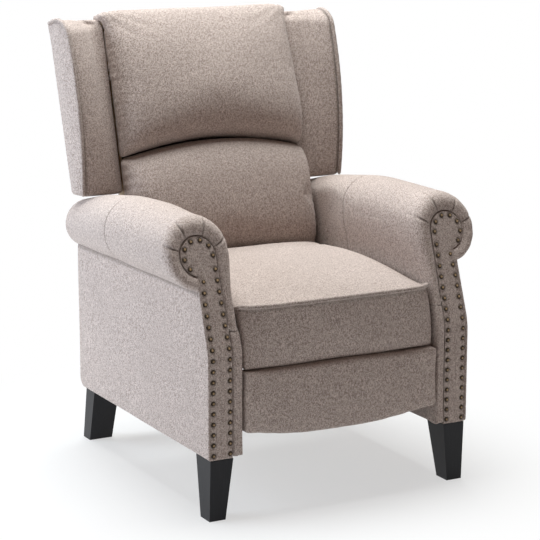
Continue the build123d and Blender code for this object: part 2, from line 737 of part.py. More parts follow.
save(rivets([REAR_PIVOT, FRONT_PIVOT], LAYER_1, SEAT_PLATE_X + PLATE_T), "seat_rivets")

with BuildPart() as cross_tube:
    with BuildSketch(Plane.YZ.offset(-SEAT_PLATE_X)):
        with Locations((TUBE_Y, TUBE_Z)):
            Circle(TUBE_D / 2)
            Circle(TUBE_D / 2 - TUBE_WALL, mode=Mode.SUBTRACT)
    extrude(amount=2 * SEAT_PLATE_X)
save(cross_tube.part, "cross_tube")


# Footrest links
def link(points, layer):
    """A flat link on both sides: round-ended bars between successive points, with a hole at each."""
    with BuildPart() as bar:
        with BuildSketch(Plane.YZ.offset(layer)):
            for start, end in zip(points, points[1:]):
                reach = Vector(*end) - Vector(*start)
                with Locations(((start[0] + end[0]) / 2, (start[1] + end[1]) / 2)):
                    SlotCenterToCenter(reach.length, LINK_W, rotation=degrees(atan2(reach.Y, reach.X)))
            with Locations(*points):
                Circle(RIVET_D / 2 + PIN_FIT, mode=Mode.SUBTRACT)
        extrude(amount=PLATE_T)
        mirror(about=Plane.YZ)
    return bar.part


save(link([LEVER, REAR_PIVOT, KNUCKLE, ELBOW], LAYER_1), "rear_links")
save(link([FRONT_PIVOT, HEEL], LAYER_1), "front_links")
save(link([HEEL, KNUCKLE, REST_PIVOT], LAYER_2), "carrier_links")
save(link([ELBOW, REST_LOWER], LAYER_2), "lower_links")
save(rivets([HEEL], LAYER_2, LAYER_1 + PLATE_T), "front_link_rivets")
save(rivets([REST_PIVOT, REST_LOWER], LAYER_3, LAYER_2 + PLATE_T), "footrest_rivets")

knuckle_rivets = rivets([KNUCKLE, ELBOW], LAYER_2, LAYER_1 + PLATE_T)
with BuildPart() as rear_link_rivets:
    with BuildSketch(Plane.YZ.offset(LAYER_1)):
        with Locations(LEVER):
            Circle(RIVET_D / 2)
    extrude(amount=FRAME_X - LAYER_1 - CLEAR)
    mirror(about=Plane.YZ)
    add(knuckle_rivets)
save(rear_link_rivets.part, "rear_link_rivets")

# Footrest: board, padded cover and the brackets that the links carry
REST_BOARD_LOW = REST_LOW_Z + REST_RISE + REST_BOARD_MARGIN
REST_BOARD_H = REST_TOP_Z - REST_BOARD_MARGIN - REST_BOARD_LOW
FLANGE_LOW = REST_LOWER[1] - 2 * LINK_W
FLANGE_TOP = REST_PIVOT_Z + LINK_W / 2
with BuildPart() as footrest_board:
    with Locations((0, REST_BACK_Y, REST_BOARD_LOW)):
        Box(
            2 * (REST_W - REST_BOARD_MARGIN),
            REST_BOARD_T,
            REST_BOARD_H,
            align=(Align.CENTER, Align.MAX, Align.MIN),
        )
save(footrest_board.part, "footrest_board")

with BuildPart() as footrest_brackets:
    with BuildSketch(Plane.YZ.offset(LAYER_3)):
        with BuildLine():
            Polyline(
                (REST_BACK_Y, FLANGE_TOP),
                (REST_PIVOT[0] + LINK_W / 2, FLANGE_TOP),
                (REST_LOWER[0] + LINK_W / 2, REST_LOWER[1] - LINK_W / 2),
                (REST_BACK_Y, FLANGE_LOW),
                close=True,
            )
        make_face()
        with Locations(REST_PIVOT, REST_LOWER):
            Circle(RIVET_D / 2 + PIN_FIT, mode=Mode.SUBTRACT)
    extrude(amount=PLATE_T)
    with Locations((LAYER_3 + PLATE_T, REST_BACK_Y, FLANGE_LOW)):
        Box(FLANGE_W, PLATE_T, FLANGE_TOP - FLANGE_LOW, align=(Align.MAX, Align.MIN, Align.MIN))
    mirror(about=Plane.YZ)
save(footrest_brackets.part, "footrest_brackets")


def across(stations):
    """Stations over the whole width of a cushion, from those of its right-hand half."""
    return [(-share, full) for share, full in reversed(stations)] + list(stations[1:])


with BuildPart() as footrest_pad:
    for share, full in across(REST_STATIONS):
        low = REST_LOW_Z + REST_RISE * share * share
        face_y = REST_FACE_Y + REST_DRAW * (1 - full)
        shoulder_y = face_y + REST_ROUND
        with BuildSketch(Plane.YZ.offset(share * REST_W)):
            with BuildLine():
                Line((REST_BACK_Y, low), (REST_BACK_Y, REST_TOP_Z))
                Line((REST_BACK_Y, REST_TOP_Z), (shoulder_y, REST_TOP_Z))
                ThreePointArc(
                    (shoulder_y, REST_TOP_Z),
                    (face_y, (low + REST_TOP_Z) / 2),
                    (shoulder_y, low),
                )
                Line((shoulder_y, low), (REST_BACK_Y, low))
            make_face()
    loft()
    add(footrest_board.part, mode=Mode.SUBTRACT)
save(footrest_pad.part, "footrest_pad")

# Seat: rails, springs, cushion with its front apron, and the welt along the front edge
with BuildPart() as seat_side_rails:
    with Locations((SEAT_PLATE_X, APRON_BACK_Y + SEAT_CROSS_T, SEAT_RAIL_Z)):
        Box(
            SEAT_RAIL_W,
            SEAT_REAR_RAIL_Y - APRON_BACK_Y - SEAT_CROSS_T,
            SEAT_RAIL_H,
            align=(Align.MAX, Align.MIN, Align.MIN),
        )
    mirror(about=Plane.YZ)
save(seat_side_rails.part, "seat_side_rails")

with BuildPart() as seat_cross_rails:
    for rail_y, rail_h in ((APRON_BACK_Y, SEAT_RAIL_TOP - APRON_Z), (SEAT_REAR_RAIL_Y, SEAT_RAIL_H)):
        with Locations((0, rail_y, SEAT_RAIL_TOP)):
            Box(2 * SEAT_PLATE_X, SEAT_CROSS_T, rail_h, align=(Align.CENTER, Align.MIN, Align.MAX))
save(seat_cross_rails.part, "seat_cross_rails")

SPRING_START = APRON_BACK_Y + SEAT_CROSS_T / 2
SPRING_END = SEAT_TAIL_Y - SEAT_CROSS_T / 2
SPRING_TURNS = 2 * round((SPRING_END - SPRING_START) / SPRING_PITCH / 2)
SPRING_STEP = (SPRING_END - SPRING_START) / SPRING_TURNS
SPRING_SPAN = 2 * (SEAT_PLATE_X - SEAT_RAIL_W) - SPRING_SWING - 2 * SPRING_D
with BuildPart() as seat_springs:
    with BuildSketch(Plane.XY.offset(SEAT_RAIL_TOP)):
        for number in range(SPRINGS):
            spring_x = SPRING_SPAN * (number / (SPRINGS - 1) - 0.5)
            points = [(spring_x, SPRING_START)]
            for turn in range(SPRING_TURNS):
                side_x = spring_x + (SPRING_SWING / 2) * (1 if turn % 2 else -1)
                points.append((side_x, SPRING_START + SPRING_STEP * turn))
                points.append((side_x, SPRING_START + SPRING_STEP * (turn + 1)))
            points.append((spring_x, SPRING_END))
            with BuildLine():
                FilletPolyline(*points, radius=SPRING_STEP * SPRING_BEND)
            trace(line_width=SPRING_D)
    extrude(amount=SPRING_D)
save(seat_springs.part, "seat_springs")

with BuildPart() as seat_cushion:
    for share, full in across(SEAT_STATIONS):
        front = SEAT_FRONT_Y + SEAT_DRAW * (1 - full)
        edge_z = SEAT_EDGE_Z - SEAT_DRAW * (1 - full)
        crown = SEAT_EDGE_Z + SEAT_CROWN * full
        back_z = SEAT_EDGE_Z + (SEAT_BACK_Z - SEAT_EDGE_Z) * full
        with BuildSketch(Plane.YZ.offset(share * SEAT_W)):
            with BuildLine():
                Line((front, APRON_Z), (front, edge_z))
                ThreePointArc(
                    (front, edge_z),
                    ((SEAT_FRONT_Y + SEAT_BACK_Y) / 2, crown),
                    (SEAT_BACK_Y, back_z),
                )
                Polyline(
                    (SEAT_BACK_Y, back_z),
                    (SEAT_TUCK_Y, SEAT_TUCK_Z),
                    (SEAT_TAIL_Y, SEAT_TAIL_Z),
                    (SEAT_TAIL_Y, SEAT_FLOOR_Z),
                    (APRON_BACK_Y, SEAT_FLOOR_Z),
                    (APRON_BACK_Y, APRON_Z),
                    (front, APRON_Z),
                )
            make_face()
    loft()
save(seat_cushion.part, "seat_cushion")

with BuildPart() as seat_welt:
    welt_y = SEAT_FRONT_Y - SEAT_WELT_PROUD * SEAT_WELT_R
    welt_z = SEAT_EDGE_Z + SEAT_WELT_PROUD * SEAT_WELT_R
    with BuildSketch(Plane.YZ):
        with Locations((welt_y, welt_z)):
            Circle(SEAT_WELT_R)
    extrude(amount=SEAT_W, both=True)
save(seat_welt.part, "seat_welt")

# Back: frame, webbing, brackets with their drive pins, and the outside back
with BuildPart() as back_posts:
    with BuildSketch(BACK_PLANE.offset(SKIN_T)):
        with Locations((POST_X1, BACK_LOW_H)):
            Rectangle(POST_W, BACK_TOP_H - BACK_LOW_H, align=(Align.MAX, Align.MIN))
    extrude(amount=POST_T)
    mirror(about=Plane.YZ)
save(back_posts.part, "back_posts")

with BuildPart() as back_cross_rails:
    with BuildSketch(BACK_PLANE.offset(SKIN_T)):
        for rail_h in (BACK_LOW_H, MID_RAIL_H, BACK_TOP_H - BACK_RAIL_H):
            with Locations((0, rail_h)):
                Rectangle(2 * POST_X0, BACK_RAIL_H, align=(Align.CENTER, Align.MIN))
    extrude(amount=POST_T)
save(back_cross_rails.part, "back_cross_rails")

STRAP_STEP = (BACK_TOP_H - BACK_LOW_H - 2 * BACK_RAIL_H) / (STRAPS - 1)
with BuildPart() as back_webbing:
    with BuildSketch(BACK_PLANE.offset(FRAME_FRONT_T)):
        for number in range(STRAPS):
            with Locations((0, BACK_LOW_H + BACK_RAIL_H + number * STRAP_STEP)):
                Rectangle(2 * POST_X1 - STRAP_T, STRAP_W)
    extrude(amount=STRAP_T)
save(back_webbing.part, "back_webbing")


def wing_corner(z):
    """Front outer corner of the wing at a height, bellied forwards, and the share of the wing's height."""
    share = (z - WING_LOW_Z) / (WING_TOP_Z - WING_LOW_Z)
    out_x = WING_OUT_X + (WING_OUT_TOP_X - WING_OUT_X) * share
    front = WING_FRONT_Y + (WING_FRONT_TOP_Y - WING_FRONT_Y) * share
    return out_x, front - 4 * WING_BELLY * share * (1 - share), share


def wing_rear_x(share):
    """Outer edge of the wing where it meets the outside back."""
    return WING_REAR_X + (WING_REAR_TOP_X - WING_REAR_X) * share


SKIN_LOW_H = BACK_LOW_H / 2
WING_LOW_H = (WING_LOW_Z - BACK_Z) / cos(radians(LEAN))
SKIN_TOP_H = BACK_TOP_H + SKIN_T
skin_edge = [(wing_rear_x(0) - SKIN_T / 2, WING_LOW_H), (wing_rear_x(1) - SKIN_T / 2, SKIN_TOP_H)]
with BuildPart() as outside_back:
    with BuildSketch(BACK_PLANE):
        with BuildLine():
            Polyline(*skin_edge, *[(-x, height) for x, height in reversed(skin_edge)], close=True)
        make_face()
        with Locations((0, SKIN_LOW_H)):
            Rectangle(2 * POST_X1, WING_LOW_H - SKIN_LOW_H, align=(Align.CENTER, Align.MIN))
    extrude(amount=SKIN_T)
save(outside_back.part, "outside_back")

post_low = BACK_PLANE.from_local_coords((0, BACK_LOW_H + LINK_W, FRAME_FRONT_T - CLEAR))
post_top = BACK_PLANE.from_local_coords((0, BRACKET_HOLD_H, FRAME_FRONT_T - CLEAR))
post_top_rear = BACK_PLANE.from_local_coords((0, BRACKET_HOLD_H, SKIN_T + CLEAR))
with BuildPart() as back_bracket:
    with BuildSketch(Plane.YZ.offset(LAYER_1)):
        with BuildLine():
            Polyline(
                (post_low.Y, post_low.Z),
                (post_top.Y, post_top.Z),
                (post_top_rear.Y, post_top_rear.Z),
                (PIVOT_Y + ROLLER_D, PIVOT_Z),
                (DRIVE_Y + DRIVE_D, DRIVE_Z),
                (DRIVE_Y, DRIVE_Z - DRIVE_D),
                (DRIVE_Y - DRIVE_D, DRIVE_Z),
                (PIVOT_Y - ROLLER_D, PIVOT_Z),
                close=True,
            )
        make_face()
        with Locations((PIVOT_Y, PIVOT_Z)):
            Circle(PIVOT_D / 2 + PIN_FIT, mode=Mode.SUBTRACT)
        with Locations((DRIVE_Y, DRIVE_Z)):
            Circle(DRIVE_D / 2 + PIN_FIT, mode=Mode.SUBTRACT)
    extrude(amount=PLATE_T)
save_pair(back_bracket.part, "back_bracket")

with BuildPart() as drive_pins:
    with BuildSketch(Plane.YZ.offset(LAYER_1)):
        with Locations((DRIVE_Y, DRIVE_Z)):
            Circle(DRIVE_D / 2)
    extrude(amount=SEAT_PLATE_X + PLATE_T - LAYER_1)
    mirror(about=Plane.YZ)
save(drive_pins.part, "drive_pins")


# Lumbar and head cushions, meeting at an arched crease
def arch_h(share):
    """Height up the back of the crease between the two cushions."""
    return ARCH_H - ARCH_DROP * share * share


def fuller(depth, full):
    """A depth in front of the frame, drawn in towards the cushion's ends."""
    return PAD_T + (depth - PAD_T) * full


with BuildPart() as lumbar_cushion:
    for share, full in across(LUMBAR_STATIONS):
        top = arch_h(share) - CLEAR
        with BuildSketch(BACK_SIDE.offset(share * SEAT_W)):
            with BuildLine():
                Line((CUSHION_LOW_H, PAD_T), (CUSHION_LOW_H, fuller(CREASE_T, full)))
                ThreePointArc(
                    (CUSHION_LOW_H, fuller(CREASE_T, full)),
                    ((CUSHION_LOW_H + top) / 2, fuller(LUMBAR_T0, full)),
                    (top, fuller(CREASE_T, full)),
                )
                Line((top, fuller(CREASE_T, full)), (top, PAD_T))
                Line((top, PAD_T), (CUSHION_LOW_H, PAD_T))
            make_face()
    loft()
save(lumbar_cushion.part, "lumbar_cushion")

with BuildPart() as head_cushion:
    for share, full in across(HEAD_STATIONS):
        low = arch_h(share) + CLEAR
        with BuildSketch(BACK_SIDE.offset(share * HEAD_W)):
            with BuildLine():
                Line((low, PAD_T), (low, fuller(CREASE_T, full)))
                ThreePointArc(
                    (low, fuller(CREASE_T, full)),
                    (low + HEAD_SHOULDER, fuller(HEAD_T0, full)),
                    (HEAD_TOP_H, fuller(HEAD_EDGE_T, full)),
                )
                Polyline(
                    (HEAD_TOP_H, fuller(HEAD_EDGE_T, full)),
                    (HEAD_TOP_H, SKIN_T + CLEAR),
                    (BACK_TOP_H + SKIN_T + CLEAR, SKIN_T + CLEAR),
                    (BACK_TOP_H + SKIN_T + CLEAR, PAD_T),
                    (low, PAD_T),
                )
            make_face()
    loft()
save(head_cushion.part, "head_cushion")

# Wings: a board on the back's post, a padded cover and a welt round its front and top
with BuildPart() as wing_boards:
    with BuildSketch(BACK_PLANE.offset(SKIN_T)):
        with Locations((POST_X1, WING_LOW_H + WING_BOARD_MARGIN)):
            Rectangle(
                WING_OUT_X - WING_BOARD_MARGIN - POST_X1,
                BACK_TOP_H - WING_LOW_H - 2 * WING_BOARD_MARGIN,
                align=(Align.MIN, Align.MIN),
            )
    extrude(amount=WING_BOARD_T)
    mirror(about=Plane.YZ)
save(wing_boards.part, "wing_boards")


wing_levels = [
    WING_LOW_Z + (WING_TOP_Z - WING_LOW_Z) * step / (WING_SECTIONS - 1) for step in range(WING_SECTIONS)
]
welt_points = [(*wing_corner(z)[:2], z) for z in wing_levels]
welt_points.append((welt_points[-1][0], back_y(WING_TOP_Z, SKIN_T) - 2 * WING_WELT_R, WING_TOP_Z))
with BuildPart() as wing_welt:
    with BuildLine() as wing_path:
        FilletPolyline(*welt_points, radius=WING_ROUND)
    with BuildSketch(Plane(origin=wing_path.line @ 0, z_dir=wing_path.line % 0)):
        Circle(WING_WELT_R)
    sweep()
with BuildPart() as welt_groove:
    with BuildSketch(Plane(origin=wing_path.line @ 0, z_dir=wing_path.line % 0)):
        Circle(WING_WELT_R + CLEAR)
    sweep(path=wing_path.line)

with BuildPart() as wing:
    for z in wing_levels:
        corner_x, corner_y, share = wing_corner(z)
        rear_y = back_y(z, SKIN_T + CLEAR)
        in_x = WING_IN_X + (WING_IN_TOP_X - WING_IN_X) * share
        with BuildSketch(Plane.XY.offset(z)):
            with BuildLine():
                Polyline(
                    (corner_x, corner_y),
                    (wing_rear_x(share), rear_y),
                    (in_x, rear_y),
                    (in_x, corner_y + WING_TURN + (WING_TURN_TOP - WING_TURN) * share),
                    close=True,
                )
            make_face()
    loft()
    front_top = wing.faces().sort_by(Axis.Z)[-1].edges().sort_by(Axis.Y)[0]
    fillet(front_top, WING_ROUND)
    add(wing_boards.part, mode=Mode.SUBTRACT)
    add(welt_groove.part, mode=Mode.SUBTRACT)
save_pair(wing.part, "wing")
with BuildPart() as wing_welts:
    add(wing_welt.part)
    mirror(about=Plane.YZ)
save(wing_welts.part, "wing_welts")
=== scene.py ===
"""Looks for the pushback recliner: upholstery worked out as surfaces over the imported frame.

Lengths are in millimetres until a surface becomes a mesh; finishes, floor, lamps and camera are in metres.
Pieces are drawn for the right-hand side (+X) and mirrored for the left. +Z is up and the chair faces -Y.
"""
import json
import math

import bmesh
import bpy
import numpy as np
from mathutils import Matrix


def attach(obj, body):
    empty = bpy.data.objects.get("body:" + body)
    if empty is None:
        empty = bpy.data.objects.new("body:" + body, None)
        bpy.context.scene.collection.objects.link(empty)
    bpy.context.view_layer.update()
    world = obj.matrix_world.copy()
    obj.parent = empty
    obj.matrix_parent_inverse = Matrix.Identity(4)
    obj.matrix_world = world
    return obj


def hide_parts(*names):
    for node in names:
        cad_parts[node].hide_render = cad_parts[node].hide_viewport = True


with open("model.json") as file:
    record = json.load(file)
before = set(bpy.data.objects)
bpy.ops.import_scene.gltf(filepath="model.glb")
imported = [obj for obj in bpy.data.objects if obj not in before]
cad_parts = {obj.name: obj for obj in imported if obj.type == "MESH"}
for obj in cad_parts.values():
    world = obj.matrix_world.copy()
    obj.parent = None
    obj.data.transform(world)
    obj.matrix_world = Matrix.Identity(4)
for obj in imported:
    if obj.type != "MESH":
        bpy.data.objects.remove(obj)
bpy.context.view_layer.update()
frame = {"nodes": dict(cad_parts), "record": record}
MM = 0.001
MIRROR = np.array([-1.0, 1.0, 1.0])

# Arms: side and front, facing with its scroll and nails, soft border, lining
LEG_H, SIDE_X, FRONT_Y, REAR_Y = 135.0, 320.0, -379.0, 319.0
KNEE_Z, TAN_RAKE = 365.0, math.tan(math.radians(19.0))
SIDE_BACK_X, SIDE_T, SIDE_TOP, HEEL_R = 309.0, 11.0, (505.0, 479.0), 25.0
FACING_IN_X, FACING_OUT_X, FACING_T, WELT_R = 265.0, 319.0, 12.0, 3.0
SCROLL_X, SCROLL_Z, SCROLL_R, SCROLL_END = 309.0, 562.0, 40.0, math.radians(-78.0)
NECK_LOW_Z, NECK_Z, NECK_X, NECK_LEAN = 470.0, 500.0, 317.0, 0.1
SPINE_X, SPINE_Z = (292.0, 292.0, 294.0, 307.0), (LEG_H, KNEE_Z, NECK_Z, 552.0)
NAIL_PITCH, NAIL_EDGE, NAIL_R = 22.8, 6.5, 6.2
NAILS_OUTER, NAILS_INNER, NAILS_RING = 17, 18, 7
ARM_IN_X, ARM_BORDER_LOW = 241.0, 408.0
BORDER_DEPTH, EDGE_DEPTH, BORDER_PROUD, EDGE_GAP = 24.0, 8.5, 1.5, 0.5
LINING_TOP, LINING_SET, LINING_DEPTH = 382.0, 26.0, 118.0
LINING_X = (254.7, 255.8)

# Rolls of the arms: stations along the axis, seamed darts round the scroll (their dark lines partly painted
# crease shade), points in a ring, rings at the ends
ROLL_FRONT_Y, ROLL_SEAM_Y, ROLL_END_R = -336.3, 18.0, 24.0
ROLL_SHARES = (0.0, 0.2, 0.4, 0.6, 0.8, 1.0)
ROLL_X = (308.0, 307.0, 305.0, 303.0, 301.0, 300.0)
ROLL_Z = (567.0, 567.0, 566.0, 560.0, 548.0, 531.0)
ROLL_R = (78.0, 78.0, 78.0, 76.0, 66.5, 55.0)
ROLL_FLAT_X, ROLL_FLAT_STEP, ROLL_FLAT_SOFT = 226.0, 16.0, 4.0
DARTS, DART_TURN, DART_ARM, DART_W = np.radians([18.0, 60.0, 112.0, 158.0]), 0.77, 60.0, 2.4
ROLL_POINTS, PAD_POINTS, UNDER_POINTS = 230, 63, 3
SWELL_RINGS, END_RINGS = 30, 12

# Pipings
WING_PIPING_R, ARM_PIPING_R, SEAT_PIPING_R = 4.6, 2.7, 4.7
PIPING_SHADE, CORD_TWIST, CORD_RELIEF = 0.24, 4.0, 0.035

# Seat and footrest
SEAT_W, SEAT_FRONT_Y, SEAT_EDGE_Z, SEAT_CROWN = 234.0, -376.0, 454.0, 22.0
SEAT_CORNER, APRON_CORNER = 34.0, 5.0
APRON_Z, APRON_BACK_Y, SEAT_FLOOR_Z = 319.4, -339.0, 393.0
SEAT_BACK_Y, SEAT_RISE = 113.0, 25.0
SEAT_TAIL = ((121.0, 448.0), (140.0, 438.0), (177.0, 423.0), (180.0, 417.0))
SEAT_FLOOR_Y = (180.0, 80.0, -60.0, -200.0, APRON_BACK_Y)
SEAT_HUB = (-358.0, 424.0)
REST_W, REST_LOW, REST_RISE, REST_TOP = 237.5, 165.0, 23.0, 318.6
REST_BACK_Y, REST_T = -343.5, 47.0

# Back, in its own plane: across, height up the back, depth in front of the rear face
BACK_ORIGIN, LEAN = (0.0, 235.5, 420.0), math.radians(15.0)
PAD_T, POST_X = 49.0, 238.0
HEAD_W, HEAD_TOP, ARCH_H, ARCH_DROP = 238.0, 612.0, 292.0, 32.0
HEAD_FULL, HEAD_THINNING, HEAD_LIP = 104.0, 66.0, 38.5
LUMBAR_W, LUMBAR_LOW, LUMBAR_FULL = 235.0, 7.0, 106.0
OUTSIDE_LOW, OUTSIDE_TOP, OUTSIDE_DEPTH = 21.0, 597.5, 9.5
OUTSIDE_NARROW, OUTSIDE_WIDE, OUTSIDE_FLARE, OUTSIDE_STEP = 228.0, 342.0, 7.0, (190.0, 197.0)

# Wings: outline between two heights, rounded foot and crown
WING_LOW, WING_TOP, WING_SHOULDER, WING_FOOT_R = 606.5, 1006.0, 975.0, 9.0
WING_SPAN = (609.0, 1000.0)
WING_FRONT_X, WING_FLARE_X, WING_REAR_X, WING_REAR_FLARE = 341.0, 8.0, 350.0, 7.0
WING_FRONT_Y, WING_LEAN_Y, WING_BELLY, WING_REAR_Y = 225.0, 61.0, 108.0, 380.0
WING_IN_X, WING_IN_FLARE, WING_BACK_SET = 254.0, 10.0, 10.7
WING_ROUND_Y, WING_DROP, WING_IN_ROUND = 45.0, 15.0, 30.0
WING_SOFT = np.array([4.0, 5.0, 3.0, 3.0, 11.0])
WING_FACE, WING_SWELL = (-0.34, -0.94), 6.0
BEND_POINTS, CROWN_RINGS = 9, 26

# Rear of the base
REAR_W, REAR_BACK_Y, REAR_TOP, REAR_EAR, REAR_T = 317.0, 304.0, 451.0, 36.0, 15.5

# Cloth
CUSHION_VOXEL = 0.0055
SWELL_FRAMES = 20
SWELL_CAP = 24.0

# Weave and webbing pitches, and how white the floor stays beside the chair
THREAD_PITCH, RIB_PITCH, BAND_PITCH = 0.0016, 0.003, 0.017
FLOOR_WHITE = 0.56


class Thread:
    """A value in a finish's node tree: arithmetic on it adds Math nodes, and node() adds any other."""

    def __init__(self, tree, socket=None):
        self.tree, self.socket = tree, socket

    def node(self, kind, settings=None, sockets=None, out=0):
        """One output of a new node, whose inputs take threads or plain values."""
        made = self.tree.nodes.new(kind)
        for key, value in (settings or {}).items():
            setattr(made, key, value)
        for key, value in (sockets or {}).items():
            if isinstance(value, Thread):
                self.tree.links.new(value.socket, made.inputs[key])
            else:
                made.inputs[key].default_value = value
        return Thread(self.tree, made.outputs[out])

    def math(self, operation, a, b=0.0):
        return self.node("ShaderNodeMath", {"operation": operation}, {0: a, 1: b})

    def __add__(self, other):
        return self.math("ADD", self, other)

    def __mul__(self, other):
        return self.math("MULTIPLY", self, other)

    def __sub__(self, other):
        return self.math("SUBTRACT", self, other)

    def __rsub__(self, other):
        return self.math("SUBTRACT", other, self)

    __radd__, __rmul__ = __add__, __mul__

    def sine(self):
        return self.math("SINE", self)

    def step(self, low, high):
        """Smooth step of the value between two limits."""
        limits = {"Value": self, "From Min": low, "From Max": high}
        return self.node("ShaderNodeMapRange", {"interpolation_type": "SMOOTHSTEP"}, limits)

    def mix(self, a, b):
        """Mix of two colours, with the value as the share of the second."""
        return self.node("ShaderNodeMix", {"data_type": "RGBA"}, {0: self, 6: a, 7: b}, out=2)

    def bump(self, strength, distance):
        """Normal of a surface raised by the value."""
        relief = {"Strength": strength, "Distance": distance, "Height": self}
        return self.node("ShaderNodeBump", None, relief)

    def noise(self, scale, detail=2.0, rough=0.5):
        """Noise at the value's coordinates."""
        sockets = {"Vector": self, "Scale": scale, "Detail": detail, "Roughness": rough}
        return self.node("ShaderNodeTexNoise", None, sockets)

    def stretched(self, *scale):
        """The value's coordinates, scaled along each axis."""
        return self.node("ShaderNodeMapping", None, {"Vector": self, "Scale": scale})

    def axes(self):
        """The value's three coordinates."""
        split = self.node("ShaderNodeSeparateXYZ", None, {0: self}).socket.node
        return [Thread(self.tree, output) for output in split.outputs]

    def seen(self):
        """Sum of the kinds of ray that show a surface rather than light others with it."""
        paths = self.node("ShaderNodeLightPath").socket.node.outputs
        camera, glossy, clear = (
            Thread(self.tree, paths[f"Is {kind} Ray"]) for kind in ("Camera", "Glossy", "Transmission"))
        return camera + glossy + clear


def finish(name, **constants):
    """A new material, its Principled shader's inputs and its Object coordinates."""
    material = bpy.data.materials.new(name)
    material.use_nodes = True
    tree = material.node_tree
    shader = tree.nodes["Principled BSDF"]
    for key, value in constants.items():
        shader.inputs[key.replace("_", " ")].default_value = value
    place = Thread(tree).node("ShaderNodeTexCoord", out="Object")
    return material, shader.inputs, place


def feed(sockets, **values):
    """Link values that vary over the surface to the shader's inputs."""
    for key, value in values.items():
        value.tree.links.new(value.socket, sockets[key.replace("_", " ")])


def upholstery_finish():
    """Heathered taupe weave: pale and dark yarns in blotches and slubs, a fine thread relief, dark seam lines and
    painted shade.
    """
    material, shader, place = finish(
        "taupe_weave", Sheen_Weight=0.18, Sheen_Roughness=0.45, Sheen_Tint=(1.0, 0.96, 0.93, 1.0),
        Specular_IOR_Level=0.25)
    dark_yarn, pale_yarn = (0.235, 0.176, 0.152, 1.0), (0.672, 0.57, 0.522, 1.0)
    haze, seam_and_shade_dark = (0.39, 0.325, 0.298, 1.0), (0.10, 0.08, 0.068, 1.0)
    upright = place.stretched(1.0, 1.0, 0.55)
    yarn = upright.noise(640.0, 2.0, 0.6)
    slub = upright.noise(260.0, 2.0, 0.6)
    cloud = place.noise(7.0)
    heather = (yarn * 0.75 + slub * 0.25).step(0.37, 0.63)
    colour = heather.mix(dark_yarn, pale_yarn)
    colour = (cloud.step(0.3, 0.7) * 0.14).mix(colour, haze)
    # The seam attribute darkens seam lines and painted shade alike: rings round the nails, the crease under each
    # roll, the dart creases and the gutters beside the pipings.
    seam = place.node("ShaderNodeAttribute", {"attribute_name": "seam"}, out="Fac")
    colour = (seam * 0.62).mix(colour, seam_and_shade_dark)
    x, y, z = place.axes()
    turn = 2 * math.pi / THREAD_PITCH
    warp = (x * turn).sine() * ((y + z) * turn * 0.7).sine()
    weft = (y * turn).sine() * ((z + x) * turn * 0.7).sine()
    relief = (warp + weft) * 0.22 + yarn * 0.9 + slub * 0.5
    feed(shader, Base_Color=colour, Roughness=0.8 + yarn * 0.16, Normal=relief.bump(0.34, 0.0011))
    return material


def black_wood_finish():
    """Black satin lacquer over fine straight grain, a little greyer where the grain opens."""
    material, shader, place = finish("black_lacquer", Coat_Roughness=0.3, Specular_IOR_Level=0.2)
    grain = place.stretched(1.0, 1.0, 0.06).noise(340.0, 4.0, 0.6)
    cloud = place.noise(22.0)
    colour = (grain.step(0.45, 0.75) * 0.5).mix((0.006, 0.006, 0.008, 1.0), (0.015, 0.0145, 0.0175, 1.0))
    rough = 0.3 + cloud * 0.14 + grain * 0.06
    coat = 0.04 + cloud * 0.08
    feed(shader, Base_Color=colour, Roughness=rough, Coat_Weight=coat, Normal=grain.bump(0.12, 0.0004))
    return material


def brass_finish():
    """Antique brass: dark patina, worn bare in blotches on the crown of each dome proud of the facing; the paler
    crown is partly a painted highlight and the dark rim partly painted shade.
    """
    material, shader, place = finish("antique_brass_dome")
    _, y, z = place.axes()
    proud = z.math("MAXIMUM", z - KNEE_Z * MM, 0.0) * TAN_RAKE + FRONT_Y * MM - y
    patina = place.noise(260.0, 3.0, 0.6).step(0.4, 0.66)
    # Paler crown where the dome stands proud: partly worn brass, partly a painted highlight; the dark rim is
    # partly patina, partly painted shade.
    crown_wear_and_highlight = proud.step(0.0003, 0.0013) * (1 - patina * 0.5)
    colour = crown_wear_and_highlight.mix((0.03, 0.021, 0.014, 1.0), (0.30, 0.205, 0.115, 1.0))
    feed(shader, Base_Color=colour, Roughness=0.3 + patina * 0.2, Metallic=0.9 - patina * 0.15)
    return material


def plywood_finish():
    """Birch ply: pale wood with long wavering grain lines and a few darker flecks."""
    material, shader, place = finish("birch_ply", Specular_IOR_Level=0.3)
    along = place.stretched(1.0, 0.12, 1.0)
    drift = along.noise(16.0, 3.0, 0.55)
    lines = along.noise(190.0, 3.0, 0.6)
    grain = (drift * 46.0 + lines * 3.0).sine() * 0.5 + 0.5
    colour = (grain * 0.6).mix((0.56, 0.41, 0.26, 1.0), (0.42, 0.285, 0.165, 1.0))
    colour = (lines.step(0.6, 0.75) * 0.4).mix(colour, (0.25, 0.155, 0.085, 1.0))
    feed(shader, Base_Color=colour, Roughness=0.55 + lines * 0.2, Normal=lines.bump(0.15, 0.0005))
    return material


def steel_finish():
    """Rolled steel with a dark mill finish and fine rub marks."""
    material, shader, place = finish("mill_steel")
    rub = place.stretched(1.0, 0.15, 1.0).noise(420.0, 3.0, 0.6)
    cloud = place.noise(30.0, 3.0)
    colour = cloud.step(0.35, 0.7).mix((0.20, 0.205, 0.215, 1.0), (0.12, 0.12, 0.125, 1.0))
    rough, metal = 0.3 + rub * 0.25, 0.86 + cloud * 0.12
    feed(shader, Base_Color=colour, Roughness=rough, Metallic=metal, Normal=rub.bump(0.1, 0.0003))
    return material


